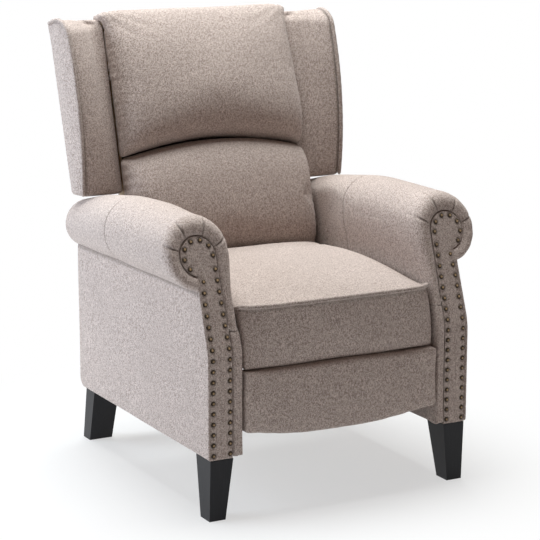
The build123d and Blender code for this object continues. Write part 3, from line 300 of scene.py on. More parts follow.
def webbing_finish():
    """Elastic webbing: close ribs across the strap and paler bands along it."""
    material, shader, place = finish("elastic_webbing", Specular_IOR_Level=0.2)
    x, _, z = place.axes()
    ribs = (x * (2 * math.pi / RIB_PITCH)).sine() * 0.5 + 0.5
    fibre = place.noise(500.0)
    bands = (z * (2 * math.pi / BAND_PITCH)).sine().step(0.2, 0.6)
    colour = (bands * 0.7).mix((0.075, 0.07, 0.066, 1.0), (0.20, 0.185, 0.165, 1.0))
    feed(shader, Base_Color=colour, Roughness=0.75 + fibre * 0.2, Normal=(ribs + fibre).bump(0.5, 0.0006))
    return material


WEAVE = upholstery_finish()
FINISHES = {
    "upholstery": WEAVE,
    "black_wood": black_wood_finish(),
    "antique_brass": brass_finish(),
    "plywood": plywood_finish(),
    "steel": steel_finish(),
    "webbing": webbing_finish(),
}


# Surfaces
def rise(low, high, value):
    """Smooth step: 0 below low, 1 above high, with no corner at either."""
    share = np.clip((value - low) / (high - low), 0.0, 1.0)
    return share * share * (3 - 2 * share)


def bell(distance, width):
    """1 at no distance, falling smoothly to nothing over a few widths."""
    return np.exp(-(distance / width) ** 2)


def dome(share, power):
    """Superellipse height over -1 to 1: flat in the middle, upright at the ends."""
    return np.clip(1 - np.abs(share) ** power, 0.0, 1.0) ** (1 / power)


def spread(count):
    """Places from -1 to 1 that crowd towards the ends, as the sine of an even angle does."""
    return np.sin(np.linspace(-math.pi / 2, math.pi / 2, count))


def quarter(count):
    """Even angles over a quarter turn."""
    return np.radians(np.linspace(0, 90, count))


def mark_seams_and_shade(mesh, shade):
    """Keep how dark the seam lines and the painted shade are at each vertex, for the weave."""
    mesh.attributes.new("seam", "FLOAT", "POINT").data.foreach_set("value", shade.astype(np.float32))


def skin(name, rings, body, nodes, hubs=None, seam=None):
    """Closed surface through rings (stations, places round, 3), each end closed by a fan to its hub."""
    count, around = rings.shape[:2]
    if hubs is None:
        hubs = rings[[0, -1]].mean(axis=1)
    index = np.arange(count * around).reshape(count, around)
    turned = np.roll(index, -1, axis=1)
    faces = np.stack([index[:-1], index[1:], turned[1:], turned[:-1]], axis=-1).reshape(-1, 4).tolist()
    first, last = np.full(around, count * around), np.full(around, count * around + 1)
    faces += np.stack([index[0], turned[0], first], axis=-1).tolist()
    faces += np.stack([turned[-1], index[-1], last], axis=-1).tolist()
    mesh = bpy.data.meshes.new(name)
    mesh.from_pydata(np.concatenate([rings.reshape(-1, 3), np.asarray(hubs, float)]) * MM, [], faces)
    if seam is not None:
        mark_seams_and_shade(mesh, np.concatenate([np.broadcast_to(seam, (count, around)).ravel(), [0.0, 0.0]]))
    shape = bmesh.new()
    shape.from_mesh(mesh)
    bmesh.ops.remove_doubles(shape, verts=shape.verts, dist=2e-5)
    bmesh.ops.recalc_face_normals(shape, faces=shape.faces)
    shape.to_mesh(mesh)
    shape.free()
    mesh.shade_smooth()
    mesh.materials.append(WEAVE)
    piece = bpy.data.objects.new(name, mesh)
    bpy.context.scene.collection.objects.link(piece)
    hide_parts(*nodes)
    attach(piece, body)
    return piece


def sided(rings, side):
    """The right-hand rings, or their mirror image for the left."""
    return rings if side == "right" else rings * MIRROR


def pillow(across, low, high, depth, power, end_power, count=(91, 61)):
    """A pad over a patch, swelling by two superellipses: rings across it, each up the front and down the back.

    Gives the place across, the height and the depth of every point.
    """
    s = spread(count[0])[:, None]
    q = spread(count[1])[None, :]
    height = low(s) + (high(s) - low(s)) * (q + 1) / 2
    front = depth(s, (q + 1) / 2) * (dome(q, power) * dome(s, end_power))
    flat = np.zeros_like(front)
    return (
        np.concatenate([across * s + flat, across * s + flat], axis=1),
        np.concatenate([height, height[:, ::-1]], axis=1),
        np.concatenate([front, flat], axis=1),
    )


def back_frame(x, height, depth):
    """Points given in the back's own plane, carried into the chair's frame."""
    y = BACK_ORIGIN[1] + height * math.sin(LEAN) - depth * math.cos(LEAN)
    z = BACK_ORIGIN[2] + height * math.cos(LEAN) + depth * math.sin(LEAN)
    return np.stack([x, y, z], axis=-1)


def back_place(points):
    """Height up the back and depth in front of its rear face, of points in the chair's frame."""
    dy, dz = points[..., 1] - BACK_ORIGIN[1], points[..., 2] - BACK_ORIGIN[2]
    return dy * math.sin(LEAN) + dz * math.cos(LEAN), dz * math.sin(LEAN) - dy * math.cos(LEAN)


def length_along(path):
    """Length of a path up to each of its points."""
    return np.concatenate([[0.0], np.cumsum(np.linalg.norm(np.diff(path, axis=0), axis=1))])


def tube(name, path, radius, body, nodes, around=12):
    """Piping: a circle carried along a path, with a faint rope of the cord inside, closed at both ends."""
    along = np.gradient(path, axis=0)
    along /= np.linalg.norm(along, axis=1, keepdims=True)
    aside = np.cross(along, [0.35, 0.2, 0.9])
    aside /= np.linalg.norm(aside, axis=1, keepdims=True)
    other = np.cross(along, aside)
    turn = np.linspace(0, 2 * math.pi, around, endpoint=False)
    swell = radius * (1 + CORD_RELIEF * np.sin(length_along(path)[:, None] / CORD_TWIST + turn[None, :]))
    swell[[0, -1]] *= 0.55
    rings = (
        path[:, None, :]
        + swell[..., None] * np.cos(turn)[None, :, None] * aside[:, None, :]
        + swell[..., None] * np.sin(turn)[None, :, None] * other[:, None, :]
    )
    return skin(name, rings, body, nodes, seam=PIPING_SHADE)


def rounded_path(corners, radius, step):
    """A path through corners, each rounded by a quadratic curve that starts its radius away, in even steps."""
    pieces = [corners[:1]]
    bend = np.linspace(0, 1, BEND_POINTS)[:, None]
    for before, at, after in zip(corners, corners[1:], corners[2:]):
        start = at + (before - at) * radius / np.linalg.norm(before - at)
        end = at + (after - at) * radius / np.linalg.norm(after - at)
        pieces.append(start * (1 - bend) ** 2 + at * 2 * bend * (1 - bend) + end * bend ** 2)
    pieces.append(corners[-1:])
    line = np.concatenate(pieces)
    run = length_along(line)
    even = np.linspace(0, run[-1], int(run[-1] / step) + 2)
    return np.stack([np.interp(even, run, line[:, axis]) for axis in range(3)], axis=1)


def front_y(z):
    """Front of the arm at a height: upright below the knee, raked back above it."""
    return FRONT_Y + np.maximum(0.0, z - KNEE_Z) * TAN_RAKE


def border_depth(swell):
    """Depth of the soft border behind the arm's front: shallow beside the facing, full, then far round."""
    deep = np.where(swell > math.pi / 2, EDGE_DEPTH, BORDER_DEPTH)
    return deep - (deep + BORDER_PROUD) * np.sin(swell)


def border_reach(cosine):
    """Share of the way from the facing's edge to the arm's skin, over the soft border's half ellipse."""
    return 0.52 + 0.48 * cosine


def inner_edge(z):
    """Inner edge of the facing at a height, drawn in from the knee to the scroll."""
    share = np.clip((z - KNEE_Z) / (SCROLL_Z - KNEE_Z), 0.0, 1.0)
    return FACING_IN_X + (SCROLL_X - SCROLL_R - FACING_IN_X) * share


# Arms
def roll_line(y):
    """Axis (x, z) and radius of the roll at a place along it: quartic curves near its six stations."""
    share = (y - ROLL_FRONT_Y) / (REAR_Y - ROLL_FRONT_Y)
    return (np.polyval(np.polyfit(ROLL_SHARES, line, 4), share) for line in (ROLL_X, ROLL_Z, ROLL_R))


def arm_roll(side):
    """Rolled arm: a circle that tapers towards the rear, running down into the flat inside pad.

    In front it swells over in a half ellipse and tucks in behind the facing's edge, with seamed darts fanned
    round the scroll whose dark lines are partly seam and partly painted crease shade; a ring seam crosses it at
    mid length and the rear end is rounded off. Each ring runs round the roll, down the inside pad and back
    underneath.
    """
    angle = np.linspace(0, 1, ROLL_POINTS)
    drop = np.linspace(0, 1, PAD_POINTS + 1)[1:]
    close = np.linspace(0, 1, UNDER_POINTS + 2)[1:-1]
    swell = np.radians(np.linspace(180, 0, SWELL_RINGS))
    start, stop = front_y(ROLL_Z[0]) + BORDER_DEPTH, REAR_Y - ROLL_END_R
    run = np.concatenate([np.linspace(start, stop, 112), ROLL_SEAM_Y + np.linspace(-7, 7, 21)])
    run = np.unique(np.round(run, 2))[1:]
    end = quarter(END_RINGS)
    behind = len(run) + END_RINGS
    y_line = np.concatenate([np.full(SWELL_RINGS, start), run, stop + ROLL_END_R * np.sin(end)])[:, None]
    inset = np.concatenate([np.zeros(SWELL_RINGS + len(run)), ROLL_END_R * (1 - np.cos(end))])[:, None]
    reach = np.concatenate([border_reach(np.cos(swell)), np.ones(behind)])[:, None]
    back = np.concatenate([border_depth(swell), np.full(behind, BORDER_DEPTH)])[:, None]
    puff = np.concatenate([np.sin(swell) ** 0.8, np.exp(-(run - start) / 16), np.zeros(END_RINGS)])[:, None]

    # The roll and its pad, flattened on the inner side
    centre_x, centre_z, radius = roll_line(y_line)
    radius = radius - inset - 1.7 * bell(y_line - ROLL_SEAM_Y, 2.6)
    crease = -np.arccos(np.clip((SIDE_X - centre_x) / radius, -1, 1))
    turn = crease + (math.pi - crease) * angle
    softness = 0.7 * np.sin(y_line / 47 + 2.2 * turn) + 0.5 * np.sin(y_line / 29 - 3 * turn)
    softness = softness * rise(start, start + 60, y_line) * rise(REAR_Y, REAR_Y - 60, y_line)
    out = radius + softness - 0.7
    low = ARM_BORDER_LOW + (centre_z - 0.8 * radius - ARM_BORDER_LOW) * rise(180, 200, y_line)
    pad_z = centre_z + (low - centre_z) * drop
    pad_x = ARM_IN_X + (centre_x - radius - ARM_IN_X) * (1 - rise(0, 90, centre_z - pad_z))
    roll_x = np.concatenate([centre_x + out * np.cos(turn), pad_x], axis=1)
    roll_z = np.concatenate([centre_z + out * np.sin(turn), pad_z], axis=1)
    flat = ROLL_FLAT_X + ROLL_FLAT_STEP * rise(-30, 110, y_line)
    roll_x = flat + ROLL_FLAT_SOFT * np.logaddexp(0, (roll_x - flat) / ROLL_FLAT_SOFT)

    # The facing's edge, and the way from there to the roll, drawn in at each dart
    scroll = SCROLL_END + (math.pi - SCROLL_END) * angle
    edge_r = SCROLL_R + EDGE_GAP
    straight = SCROLL_Z + (ARM_BORDER_LOW - SCROLL_Z) * drop
    edge_z = np.concatenate([SCROLL_Z + edge_r * np.sin(scroll), straight])
    edge_x = np.concatenate([SCROLL_X + edge_r * np.cos(scroll), inner_edge(straight) - EDGE_GAP])
    dart = bell((scroll[:, None] - DARTS) * DART_ARM, DART_W).max(axis=1)
    ripple = 0.9 * np.sin((scroll - DARTS[0]) * 2 * math.pi / DART_TURN) ** 2
    gather = 0.5 * np.sin(straight / 9) * np.linspace(1, 0, PAD_POINTS)
    tuck = np.concatenate([3.6 * dart - ripple, gather])[None, :] * puff
    drawn = reach - np.maximum(reach - 0.4, 0) * tuck / 38
    x = edge_x + (roll_x - edge_x) * drawn
    z = edge_z + (roll_z - edge_z) * drawn
    shear = (z - centre_z) * TAN_RAKE * (1 - rise(start, 160, y_line))
    y = np.where(reach < 1, front_y(z) + back + tuck * puff, y_line + shear)

    # Back underneath from the pad's foot to the crease
    foot_x, foot_y, foot_z = x[:, -1:] + 17, y[:, -1:], z[:, -1:] + 6
    under_z = foot_z + (z[:, :1] - foot_z) * close
    under_y = np.maximum(foot_y + (y[:, :1] - foot_y) * close, front_y(under_z) + 15)
    x = np.concatenate([x, foot_x + (x[:, :1] - foot_x) * close], axis=1)
    y = np.concatenate([y, under_y], axis=1)
    z = np.concatenate([z, under_z], axis=1)
    seam = bell(y_line - ROLL_SEAM_Y, 1.5)
    # Dart lines: partly seams, partly painted shade in the dart creases.
    seam_and_crease_shade = dart[None, :] * puff * (1 - rise(0.75, 0.98, reach))
    plain = np.ones((1, PAD_POINTS + UNDER_POINTS))
    lines = np.concatenate([np.maximum(seam, seam_and_crease_shade), seam * plain], axis=1) * (inset < 1)
    rings = sided(np.stack([x, y, z], axis=-1), side)
    hubs = sided(np.array([[300.0, -270.0, 540.0], [ROLL_X[-1], REAR_Y, ROLL_Z[-1]]]), side)
    return skin(f"{side}_rolled_arm", rings, "base", [f"{side}_arm_roll"], hubs, lines)


def arm_border(side):
    """Soft inner edge of the arm below the dart at the knee: a squarer half ellipse, straight down to the leg."""
    swell = np.radians(np.linspace(180, 0, 26))
    square = np.sign(np.cos(swell)) * np.abs(np.cos(swell)) ** 0.6
    reach = np.concatenate([border_reach(square), [1.0, 1.0, 0.05]])[None, :]
    full = border_depth(swell) - 5 * np.sin(2 * swell) * (square > 0)
    back = np.concatenate([full, [29.0, 30.0, 30.0]])[None, :]
    low, high, foot = LEG_H + 1, ARM_BORDER_LOW + 3, 6.0
    z = np.concatenate([low + (foot - 1) * (1 - np.cos(quarter(7))), np.linspace(low + foot, high, 90)])[:, None]
    tight = np.clip(1 - (low + foot - z) / foot, 0.25, 1.0) ** 0.5
    drawn = tight * (1 - 0.12 * bell(z - high, 5))
    edge = inner_edge(z) - EDGE_GAP
    x = edge + (ARM_IN_X - edge) * (0.5 + (reach - 0.5) * drawn)
    wave = 0.5 * np.sin(z / 13) + 0.4 * np.sin(z / 31)
    y = front_y(z) + BORDER_DEPTH + (back - BORDER_DEPTH) * drawn
    y = y + wave * np.maximum(0, BORDER_DEPTH - back) / 25
    rings = sided(np.stack([x, y, z + 0 * x], axis=-1), side)
    seam = bell(z - high + 3, 2.0)
    return skin(f"{side}_arm_edge", rings, "base", [f"{side}_arm_border"], None, seam)


def arm_lining(side):
    """Thin sheet carried back along the arm's inner side, behind the soft edge and under the mechanism."""
    v, u = np.linspace(0, 1, 40)[:, None], np.linspace(0, 1, 30)[None, :]
    z = LEG_H - 0.6 + (LINING_TOP - LEG_H) * v + 0 * u
    y = front_y(z) + LINING_SET + LINING_DEPTH * u
    inner = np.stack([LINING_X[0] + 0.3 * np.sin(y / 21 + z / 37), y, z], axis=-1)
    outer = np.stack([0 * y + LINING_X[1], y, z], axis=-1)[:, ::-1]
    rings = sided(np.concatenate([inner, outer], axis=1), side)
    return skin(f"{side}_arm_lining", rings, "base", [f"{side}_arm_border"])


def nail_places():
    """Places of the nail heads on the right facing: a column along each edge, and a ring round the scroll."""
    rows = LEG_H + NAIL_PITCH * (0.5 + np.arange(NAILS_INNER))
    inner = np.stack([inner_edge(rows) + NAIL_EDGE, rows], axis=1)
    rows = rows[:NAILS_OUTER]
    edge = SIDE_X - NECK_LEAN * np.maximum(0.0, rows - NECK_LOW_Z)
    outer = np.stack([edge - WELT_R - NAIL_EDGE, rows], axis=1)
    angle = np.radians(-45 + 225 * np.linspace(0, 1, NAILS_RING))
    radius = SCROLL_R - NAIL_EDGE
    ring = np.stack([SCROLL_X + radius * np.cos(angle), SCROLL_Z + radius * np.sin(angle)], axis=1)
    return np.concatenate([outer, inner, ring])


def arm_facing(side):
    """Flat facing: its outline drawn in towards a spine, lightly padded, dimpled under each nail, with painted
    shade in a ring round each nail.
    """
    low = LEG_H + 1
    column = np.linspace(low, SCROLL_Z, 170)
    scroll = np.linspace(math.pi, SCROLL_END, 130)[1:]
    down = np.linspace(NECK_Z, low, 150)
    foot = np.linspace(0, 1, 24)[1:-1]
    edge_x = np.concatenate([
        inner_edge(column), SCROLL_X + SCROLL_R * np.cos(scroll),
        np.interp(down, [NECK_LOW_Z, NECK_Z], [FACING_OUT_X, NECK_X]),
        FACING_OUT_X + (FACING_IN_X - FACING_OUT_X) * foot])
    edge_z = np.concatenate([column, SCROLL_Z + SCROLL_R * np.sin(scroll), down, np.full(len(foot), low)])
    spine_z = np.clip(edge_z, LEG_H + 14, SPINE_Z[-1])
    spine_x = np.interp(spine_z, SPINE_Z, SPINE_X)
    behind, rim, over = np.linspace(0, 1, 6), np.array([9.0, 6.0, 4.0]), np.linspace(1, 0, 30) ** 0.8
    ring = np.concatenate([behind, np.ones(len(rim)), over])[:, None]
    depth = np.concatenate([np.full(len(behind), FACING_T), rim, np.full(len(over), 2.0)])[:, None]
    face = np.concatenate([np.zeros(len(behind) + len(rim)), np.ones(len(over))])[:, None]
    x = spine_x + ring * (edge_x - spine_x)
    z = spine_z + ring * (edge_z - spine_z)
    nails = nail_places()
    near = np.min((x[..., None] - nails[:, 0]) ** 2 + (z[..., None] - nails[:, 1]) ** 2, axis=-1)
    puff = 1.5 * (1 - ring ** 3) - 1.3 * np.exp(-near / 60) + 0.2 * np.sin(z / 17)
    y = front_y(z) + depth - face * (puff * (ring < 1) - 0.8 * (ring > 0.97))
    rings = sided(np.stack([x, y, z], axis=-1), side)
    # Painted shade: a dark ring round each nail, in the dimple round it.
    painted_nail_shade = 0.75 * bell(np.sqrt(near) - NAIL_R, 1.3) * (ring < 1) * face
    return skin(f"{side}_facing_panel", rings, "base", [f"{side}_arm_facing"], None, painted_nail_shade)


def side_panel(side):
    """Outer side of the arm: a thin padded panel, raked in front, rounded at its rear foot, puckered on top, with
    a dark line under the roll that is partly a seam and partly painted shade.
    """
    u = (spread(150)[:, None] + 1) / 2
    v = (spread(90)[None, :] + 1) / 2
    top = SIDE_TOP[0] + (SIDE_TOP[1] - SIDE_TOP[0]) * u
    y = front_y(LEG_H + v * (top - LEG_H))
    y = y + 5 + u * (REAR_Y - 1 - y - 5)
    heel = HEEL_R - np.sqrt(HEEL_R ** 2 - np.clip(y - (REAR_Y - HEEL_R), 0, HEEL_R) ** 2)
    z = LEG_H + 0.5 + heel * (1 - v) + v * (top - LEG_H)
    full = dome(2 * u - 1, 26) * dome(2 * v - 1, 20)
    puff = 2.2 * (1 - (2 * u - 1) ** 4) * (1 - (2 * v - 1) ** 4) + 0.4 * np.sin(y / 60 + z / 45)
    gather = np.sin(y / 2.6 + 1.5 * np.sin(y / 17)) * rise(-190, -250, y)
    pucker = gather * np.exp(-(488 - z) / 22) * (z < 489)
    x = SIDE_BACK_X + (SIDE_T + puff + pucker) * full
    flat = np.stack([0 * x + SIDE_BACK_X, y, z], -1)[:, ::-1]
    rings = np.concatenate([np.stack([x, y, z], -1), flat], axis=1)
    centre_x, centre_z, radius = roll_line(y)
    crease = centre_z - np.sqrt(radius ** 2 - (SIDE_X - centre_x) ** 2)
    # Dark line just under the roll: partly seam, partly painted shade under the roll's overhang.
    seam_and_crease_shade = 0.8 * bell(crease - 4 - z, 5)
    seam_and_crease_shade = np.concatenate([seam_and_crease_shade, 0 * seam_and_crease_shade], axis=1)
    return skin(f"{side}_side_cover", sided(rings, side), "base", [f"{side}_side_panel"], None, seam_and_crease_shade)


# Wings
def wing_line(z):
    """Front outer edge of the wing at a height (x, y, share): bellied forwards, then rounded over the top."""
    share = (z - WING_SPAN[0]) / (WING_SPAN[1] - WING_SPAN[0])
    over = np.clip((z - WING_SHOULDER) / (WING_TOP - WING_SHOULDER), 0, 1)
    y = WING_FRONT_Y + WING_LEAN_Y * share - WING_BELLY * share * (1 - share)
    return WING_FRONT_X + WING_FLARE_X * share, y + WING_ROUND_Y * (1 - np.sqrt(1 - over ** 2)), share


def wing_crown():
    """Heights over the wing's round top."""
    return WING_SHOULDER + (WING_TOP - WING_SHOULDER) * np.sin(quarter(CROWN_RINGS))


def wing_fall(y, z):
    """Height of a point of the wing once its top is let down towards the rear, as far as the outside back."""
    crest = wing_line(WING_TOP)[1]
    return z - WING_DROP * np.clip((y - crest) / (WING_REAR_Y - crest), 0, 1) ** 2 * rise(930, WING_TOP, z)


def wing(side):
    """Wing: a five-sided section with soft corners carried up the back, fuller in front, rounded at both ends.

    Round from the front outer edge: that edge, the two rear corners, a tuck behind the back cushions and the
    front inner edge. The front and outer faces swell between their edges as 1 - |s| to a power.
    """
    round_z = WING_LOW + WING_FOOT_R
    z = np.concatenate([
        WING_LOW + WING_FOOT_R * (1 - np.sin(quarter(8)[::-1])),
        np.linspace(round_z, WING_SHOULDER, 92)[1:-1], wing_crown()])
    inset = WING_FOOT_R * (1 - np.sqrt(1 - np.clip(1 - (z - WING_LOW) / WING_FOOT_R, 0, 1) ** 2))
    lid = 1 - np.sqrt(1 - np.clip((z - WING_TOP + WING_IN_ROUND) / WING_IN_ROUND, 0, 1) ** 2)
    out_x, out_y, share = wing_line(z)
    rear = BACK_ORIGIN[1] + (z - BACK_ORIGIN[2]) * math.tan(LEAN) - WING_BACK_SET / math.cos(LEAN)
    in_x = WING_IN_X + WING_IN_FLARE * share + WING_IN_ROUND * lid
    turn_y = np.minimum(out_y + 2 + 80 * share * (1 - 0.22 * share), rear - 22)
    tuck_x = POST_X + inset + 10 * lid
    tuck_y = rear - (PAD_T - 8.0) / math.cos(LEAN)
    corners = np.stack([
        np.stack([out_x - 2.5 - inset, out_y + 2.5 + inset], -1),
        np.stack([WING_REAR_X + WING_REAR_FLARE * share - inset, rear], -1),
        np.stack([tuck_x, rear], -1),
        np.stack([tuck_x, tuck_y + inset + 24 * lid], -1),
        np.stack([in_x + inset, turn_y + inset], -1)], axis=1)

    # Corners rounded by quadratic curves, with straight edges between them
    into, onward = np.roll(corners, 1, axis=1) - corners, np.roll(corners, -1, axis=1) - corners
    shorter = np.minimum(np.linalg.norm(into, axis=2), np.linalg.norm(onward, axis=2))
    reach = np.minimum(WING_SOFT, 0.45 * shorter)[..., None]
    start = corners + into / np.linalg.norm(into, axis=2, keepdims=True) * reach
    end = corners + onward / np.linalg.norm(onward, axis=2, keepdims=True) * reach
    t = np.linspace(0, 1, BEND_POINTS)[None, None, :, None]
    bend = start[:, :, None] * (1 - t) ** 2 + corners[:, :, None] * 2 * t * (1 - t) + end[:, :, None] * t ** 2
    across = spread(36)[1:-1]
    run = ((across + 1) / 2)[None, None, :, None]
    edge = end[:, :, None] * (1 - run) + np.roll(start, -1, axis=1)[:, :, None] * run
    loop = np.concatenate([bend, edge], axis=2)

    # The front face is edge 4 and the outer face edge 0
    full = np.zeros((1, len(WING_SOFT), BEND_POINTS + len(across), 1))
    full[0, 4, BEND_POINTS:, 0] = 1 - np.abs(across) ** 2.2
    full[0, 0, BEND_POINTS:] = 0.6 * full[0, 4, BEND_POINTS:]
    tall = (dome(2 * share - 1, 5) * WING_SWELL + 0.6 * np.sin(z / 23))[:, None, None, None]
    outward = np.zeros((1, len(WING_SOFT), 1, 2))
    outward[0, 4, 0], outward[0, 0, 0] = WING_FACE, (1.0, 0.0)
    loop = (loop + tall * full * outward).reshape(len(z), -1, 2)
    level = wing_fall(loop[..., 1], z[:, None])
    rings = np.concatenate([loop, level[..., None]], axis=-1)
    beside = np.hypot(loop[..., 0] - out_x[:, None], loop[..., 1] - out_y[:, None])
    # Dark band beside the piping: partly seam, partly painted shade in the gutter beside the piping.
    seam_and_gutter_shade = 0.9 * bell(np.maximum(beside - 6.5, 0), 4.0)
    return skin(f"{side}_wing_cover", sided(rings, side), "back", [f"{side}_wing"], None, seam_and_gutter_shade)


# Pipings
def wing_piping():
    """Piping up the outer front edge of each wing, over its round top and back along the outer edge."""
    z = np.concatenate([np.linspace(WING_LOW + 3, WING_SHOULDER, 90)[:-1], wing_crown()])
    x, y, _ = wing_line(z)
    tail = np.linspace(0, 1, 20)[1:]
    x = np.concatenate([x, x[-1] + (WING_REAR_X + WING_REAR_FLARE - x[-1]) * tail])
    y = np.concatenate([y, y[-1] + (WING_REAR_Y - 6 - y[-1]) * tail])
    z = np.concatenate([z, np.full(len(tail), WING_TOP)])
    path = np.stack([x, y, wing_fall(y, z)], axis=1)
    tube("left_wing_piping", path * MIRROR, WING_PIPING_R, "back", ["wing_welts"])
    tube("right_wing_piping", path, WING_PIPING_R, "back", ["wing_welts"])


def arm_piping():
    """Thin piping down the outer front edge of each arm, below the neck of the scroll."""
    x = SIDE_X + 0.5
    z = np.array([LEG_H + 3, KNEE_Z, NECK_Z + 6])
    path = rounded_path(np.stack([np.array([x, x, x - 1.5]), front_y(z) + 2.0, z], axis=1), 22, 4)
    tube("left_arm_piping", path * MIRROR, ARM_PIPING_R, "base", ["arm_welts"])
    tube("right_arm_piping", path, ARM_PIPING_R, "base", ["arm_welts"])


def seat_front(s, up=1.0):
    """Front of the seat across its width: straight, turned back at the corners, more at the top than below."""
    corner = APRON_CORNER * (1 - up ** 2) * np.abs(s) ** 16 + SEAT_CORNER * up ** 2 * np.abs(s) ** 10
    return SEAT_FRONT_Y + corner


def seat_piping():
    """Piping along the front top edge of the seat, following the corners round to the sides."""
    s = spread(140)
    z = SEAT_EDGE_Z + 1.6 - 3 * np.abs(s) ** 14
    path = np.stack([SEAT_W * s * 0.995, seat_front(s) - 4.6, z], axis=1)
    back = np.linspace(1, 0, 14)[:-1, None] * np.array([0.0, 30.0, -9.0])
    path = np.concatenate([path[0] + back, path, path[-1] + back[::-1]])
    tube("seat_piping", path, SEAT_PIPING_R, "seat", ["seat_welt"])


# Cushions
def seat_rings():
    """Seat: rings across it, each up the apron, over the crowned top, down the tail and along the floor."""
    s = spread(101)[:, None]
    front = seat_front(s)
    up = np.linspace(0, 1, 40)[None, :]
    over = (spread(110)[None, :] + 1) / 2
    edge = SEAT_EDGE_Z - 2 - 4 * np.abs(s) ** 10
    full = 1 - 0.1 * np.abs(s) ** 2.4 - 0.55 * np.abs(s) ** 14
    apron_y = seat_front(s, up) - 1.0 * np.sin(math.pi * up) + 4 * (1 - up) ** 24
    apron_z = APRON_Z + (edge - APRON_Z) * up
    top_y = front + (SEAT_BACK_Y - front) * over
    top_z = edge + full * (SEAT_RISE * over + SEAT_CROWN * (1 - np.abs(2 * over - 1) ** 2.2))
    under = SEAT_TAIL + tuple((y, SEAT_FLOOR_Z) for y in SEAT_FLOOR_Y) + ((APRON_BACK_Y, APRON_Z),)
    under_y, under_z = np.array(under).T
    y = np.concatenate([apron_y, top_y[:, 1:], under_y + 0 * s], axis=1)
    z = np.concatenate([apron_z, top_z[:, 1:], under_z + 0 * s], axis=1)
    return np.stack([SEAT_W * s + 0 * y, y, z], axis=-1)


def arch(s):
    """Height up the back of the crease between the two back cushions."""
    return ARCH_H - ARCH_DROP * s * s


def lumbar_rings():
    """Lumbar cushion: a full pillow under the arched crease."""
    x, h, t = pillow(
        LUMBAR_W, lambda s: LUMBAR_LOW + 0 * s, lambda s: arch(s) - 2,
        lambda s, q: LUMBAR_FULL - 12 * q - 10 * np.abs(s) ** 3, 2.9, 7.0)
    return back_frame(x, h, PAD_T + t)


def head_rings():
    """Head cushion: full above the crease, thinner towards the top, with rounded corners and a lip behind."""
    x, h, t = pillow(
        HEAD_W - 2, lambda s: arch(s) + 2, lambda s: HEAD_TOP - 2 - 7 * np.abs(s) ** 12,
        lambda s, q: (HEAD_FULL - HEAD_THINNING * q ** 1.7) * (1 - 0.06 * np.abs(s) ** 3), 3.4, 5.5)
    ear = 1 + 0.035 * bell(HEAD_TOP - 14 - h, 16)
    lip = HEAD_LIP * rise(584, 603, h) * (t <= 0)
    return back_frame(x * ear, h, PAD_T - lip + t)


def footrest_rings():
    """Footrest pad: a shallow firm pad with an arched lower edge and soft corners."""
    x, z, t = pillow(
        REST_W, lambda s: REST_LOW + REST_RISE * s * s, lambda s: REST_TOP + 0 * s,
        lambda s, q: REST_T - 1.0 - 1.5 * (2 * q - 1) ** 2 + 0 * s, 22.0, 60.0, (141, 81))
    return np.stack([x, REST_BACK_Y - t, z], axis=-1)


def coordinates(mesh):
    """Vertex places of a mesh as an array in millimetres."""
    flat = np.empty(len(mesh.vertices) * 3)
    mesh.vertices.foreach_get("co", flat)
    return flat.reshape(-1, 3) / MM


def applied(piece):
    """Put a piece's modifiers into its mesh."""
    made = bpy.data.meshes.new_from_object(piece.evaluated_get(bpy.context.evaluated_depsgraph_get()))
    piece.modifiers.clear()
    old, piece.data = piece.data, made
    bpy.data.meshes.remove(old)
    made.shade_smooth()


def swell_as_cloth(piece, held):
    """Give a piece a cloth that is blown up from inside, pinned at its held vertices."""
    group = piece.vertex_groups.new(name="held")
    group.add(np.flatnonzero(held).tolist(), 1.0, "REPLACE")
    cloth = piece.modifiers.new("swell", "CLOTH")
    settings = cloth.settings
    settings.quality, settings.mass, settings.air_damping = 5, 0.25, 2.0
    settings.tension_stiffness = settings.compression_stiffness = settings.shear_stiffness = 12.0
    settings.bending_stiffness = 1.2
    settings.use_pressure, settings.uniform_pressure_force = True, 4.0
    settings.effector_weights.gravity = 0.0
    settings.vertex_group_mass = "held"
    cloth.collision_settings.use_collision = False
    cloth.point_cache.frame_start, cloth.point_cache.frame_end = 1, SWELL_FRAMES


def plump(cushions):
    """Remesh the cushions evenly and blow them up a little as cloth, held where they rest and along their seams.

    Each entry is a piece, a function that gives its held vertices, and how much of the swelling it keeps.
    """
    starts = []
    for piece, held, _ in cushions:
        remesh = piece.modifiers.new("even", "REMESH")
        remesh.mode, remesh.voxel_size = "VOXEL", CUSHION_VOXEL
        applied(piece)
        starts.append(coordinates(piece.data))
        swell_as_cloth(piece, held(starts[-1]))
    for number in range(1, SWELL_FRAMES + 1):
        bpy.context.scene.frame_set(number)
    for (piece, _, kept), start in zip(cushions, starts):
        applied(piece)
        moved = coordinates(piece.data) - start
        length = np.linalg.norm(moved, axis=1, keepdims=True)
        place = start + kept * moved * np.minimum(1.0, SWELL_CAP / np.maximum(length, 1e-6))
        piece.data.vertices.foreach_set("co", (place * MM).ravel())
        piece.vertex_groups.clear()
        finer = piece.modifiers.new("finer", "SUBSURF")
        finer.levels = finer.render_levels = 1
        applied(piece)
    bpy.context.scene.frame_set(1)


def sew(piece, relief):
    """Move a cushion's surface along its normals by a relief worked out from its places, and keep its seam lines
    and any painted shade.
    """
    place = coordinates(piece.data)
    normal = np.empty(len(place) * 3)
    piece.data.vertex_normals.foreach_get("vector", normal)
    depth, seam = relief(place)
    moved = place + depth[:, None] * normal.reshape(-1, 3)
    piece.data.vertices.foreach_set("co", (moved * MM).ravel())
    mark_seams_and_shade(piece.data, seam)
    piece.data.update()


def fan(side, end, folds):
    """Folds fanned round a corner, from the distances to its two edges."""
    return np.sin(np.arctan2(end, side + 1e-6) * folds)


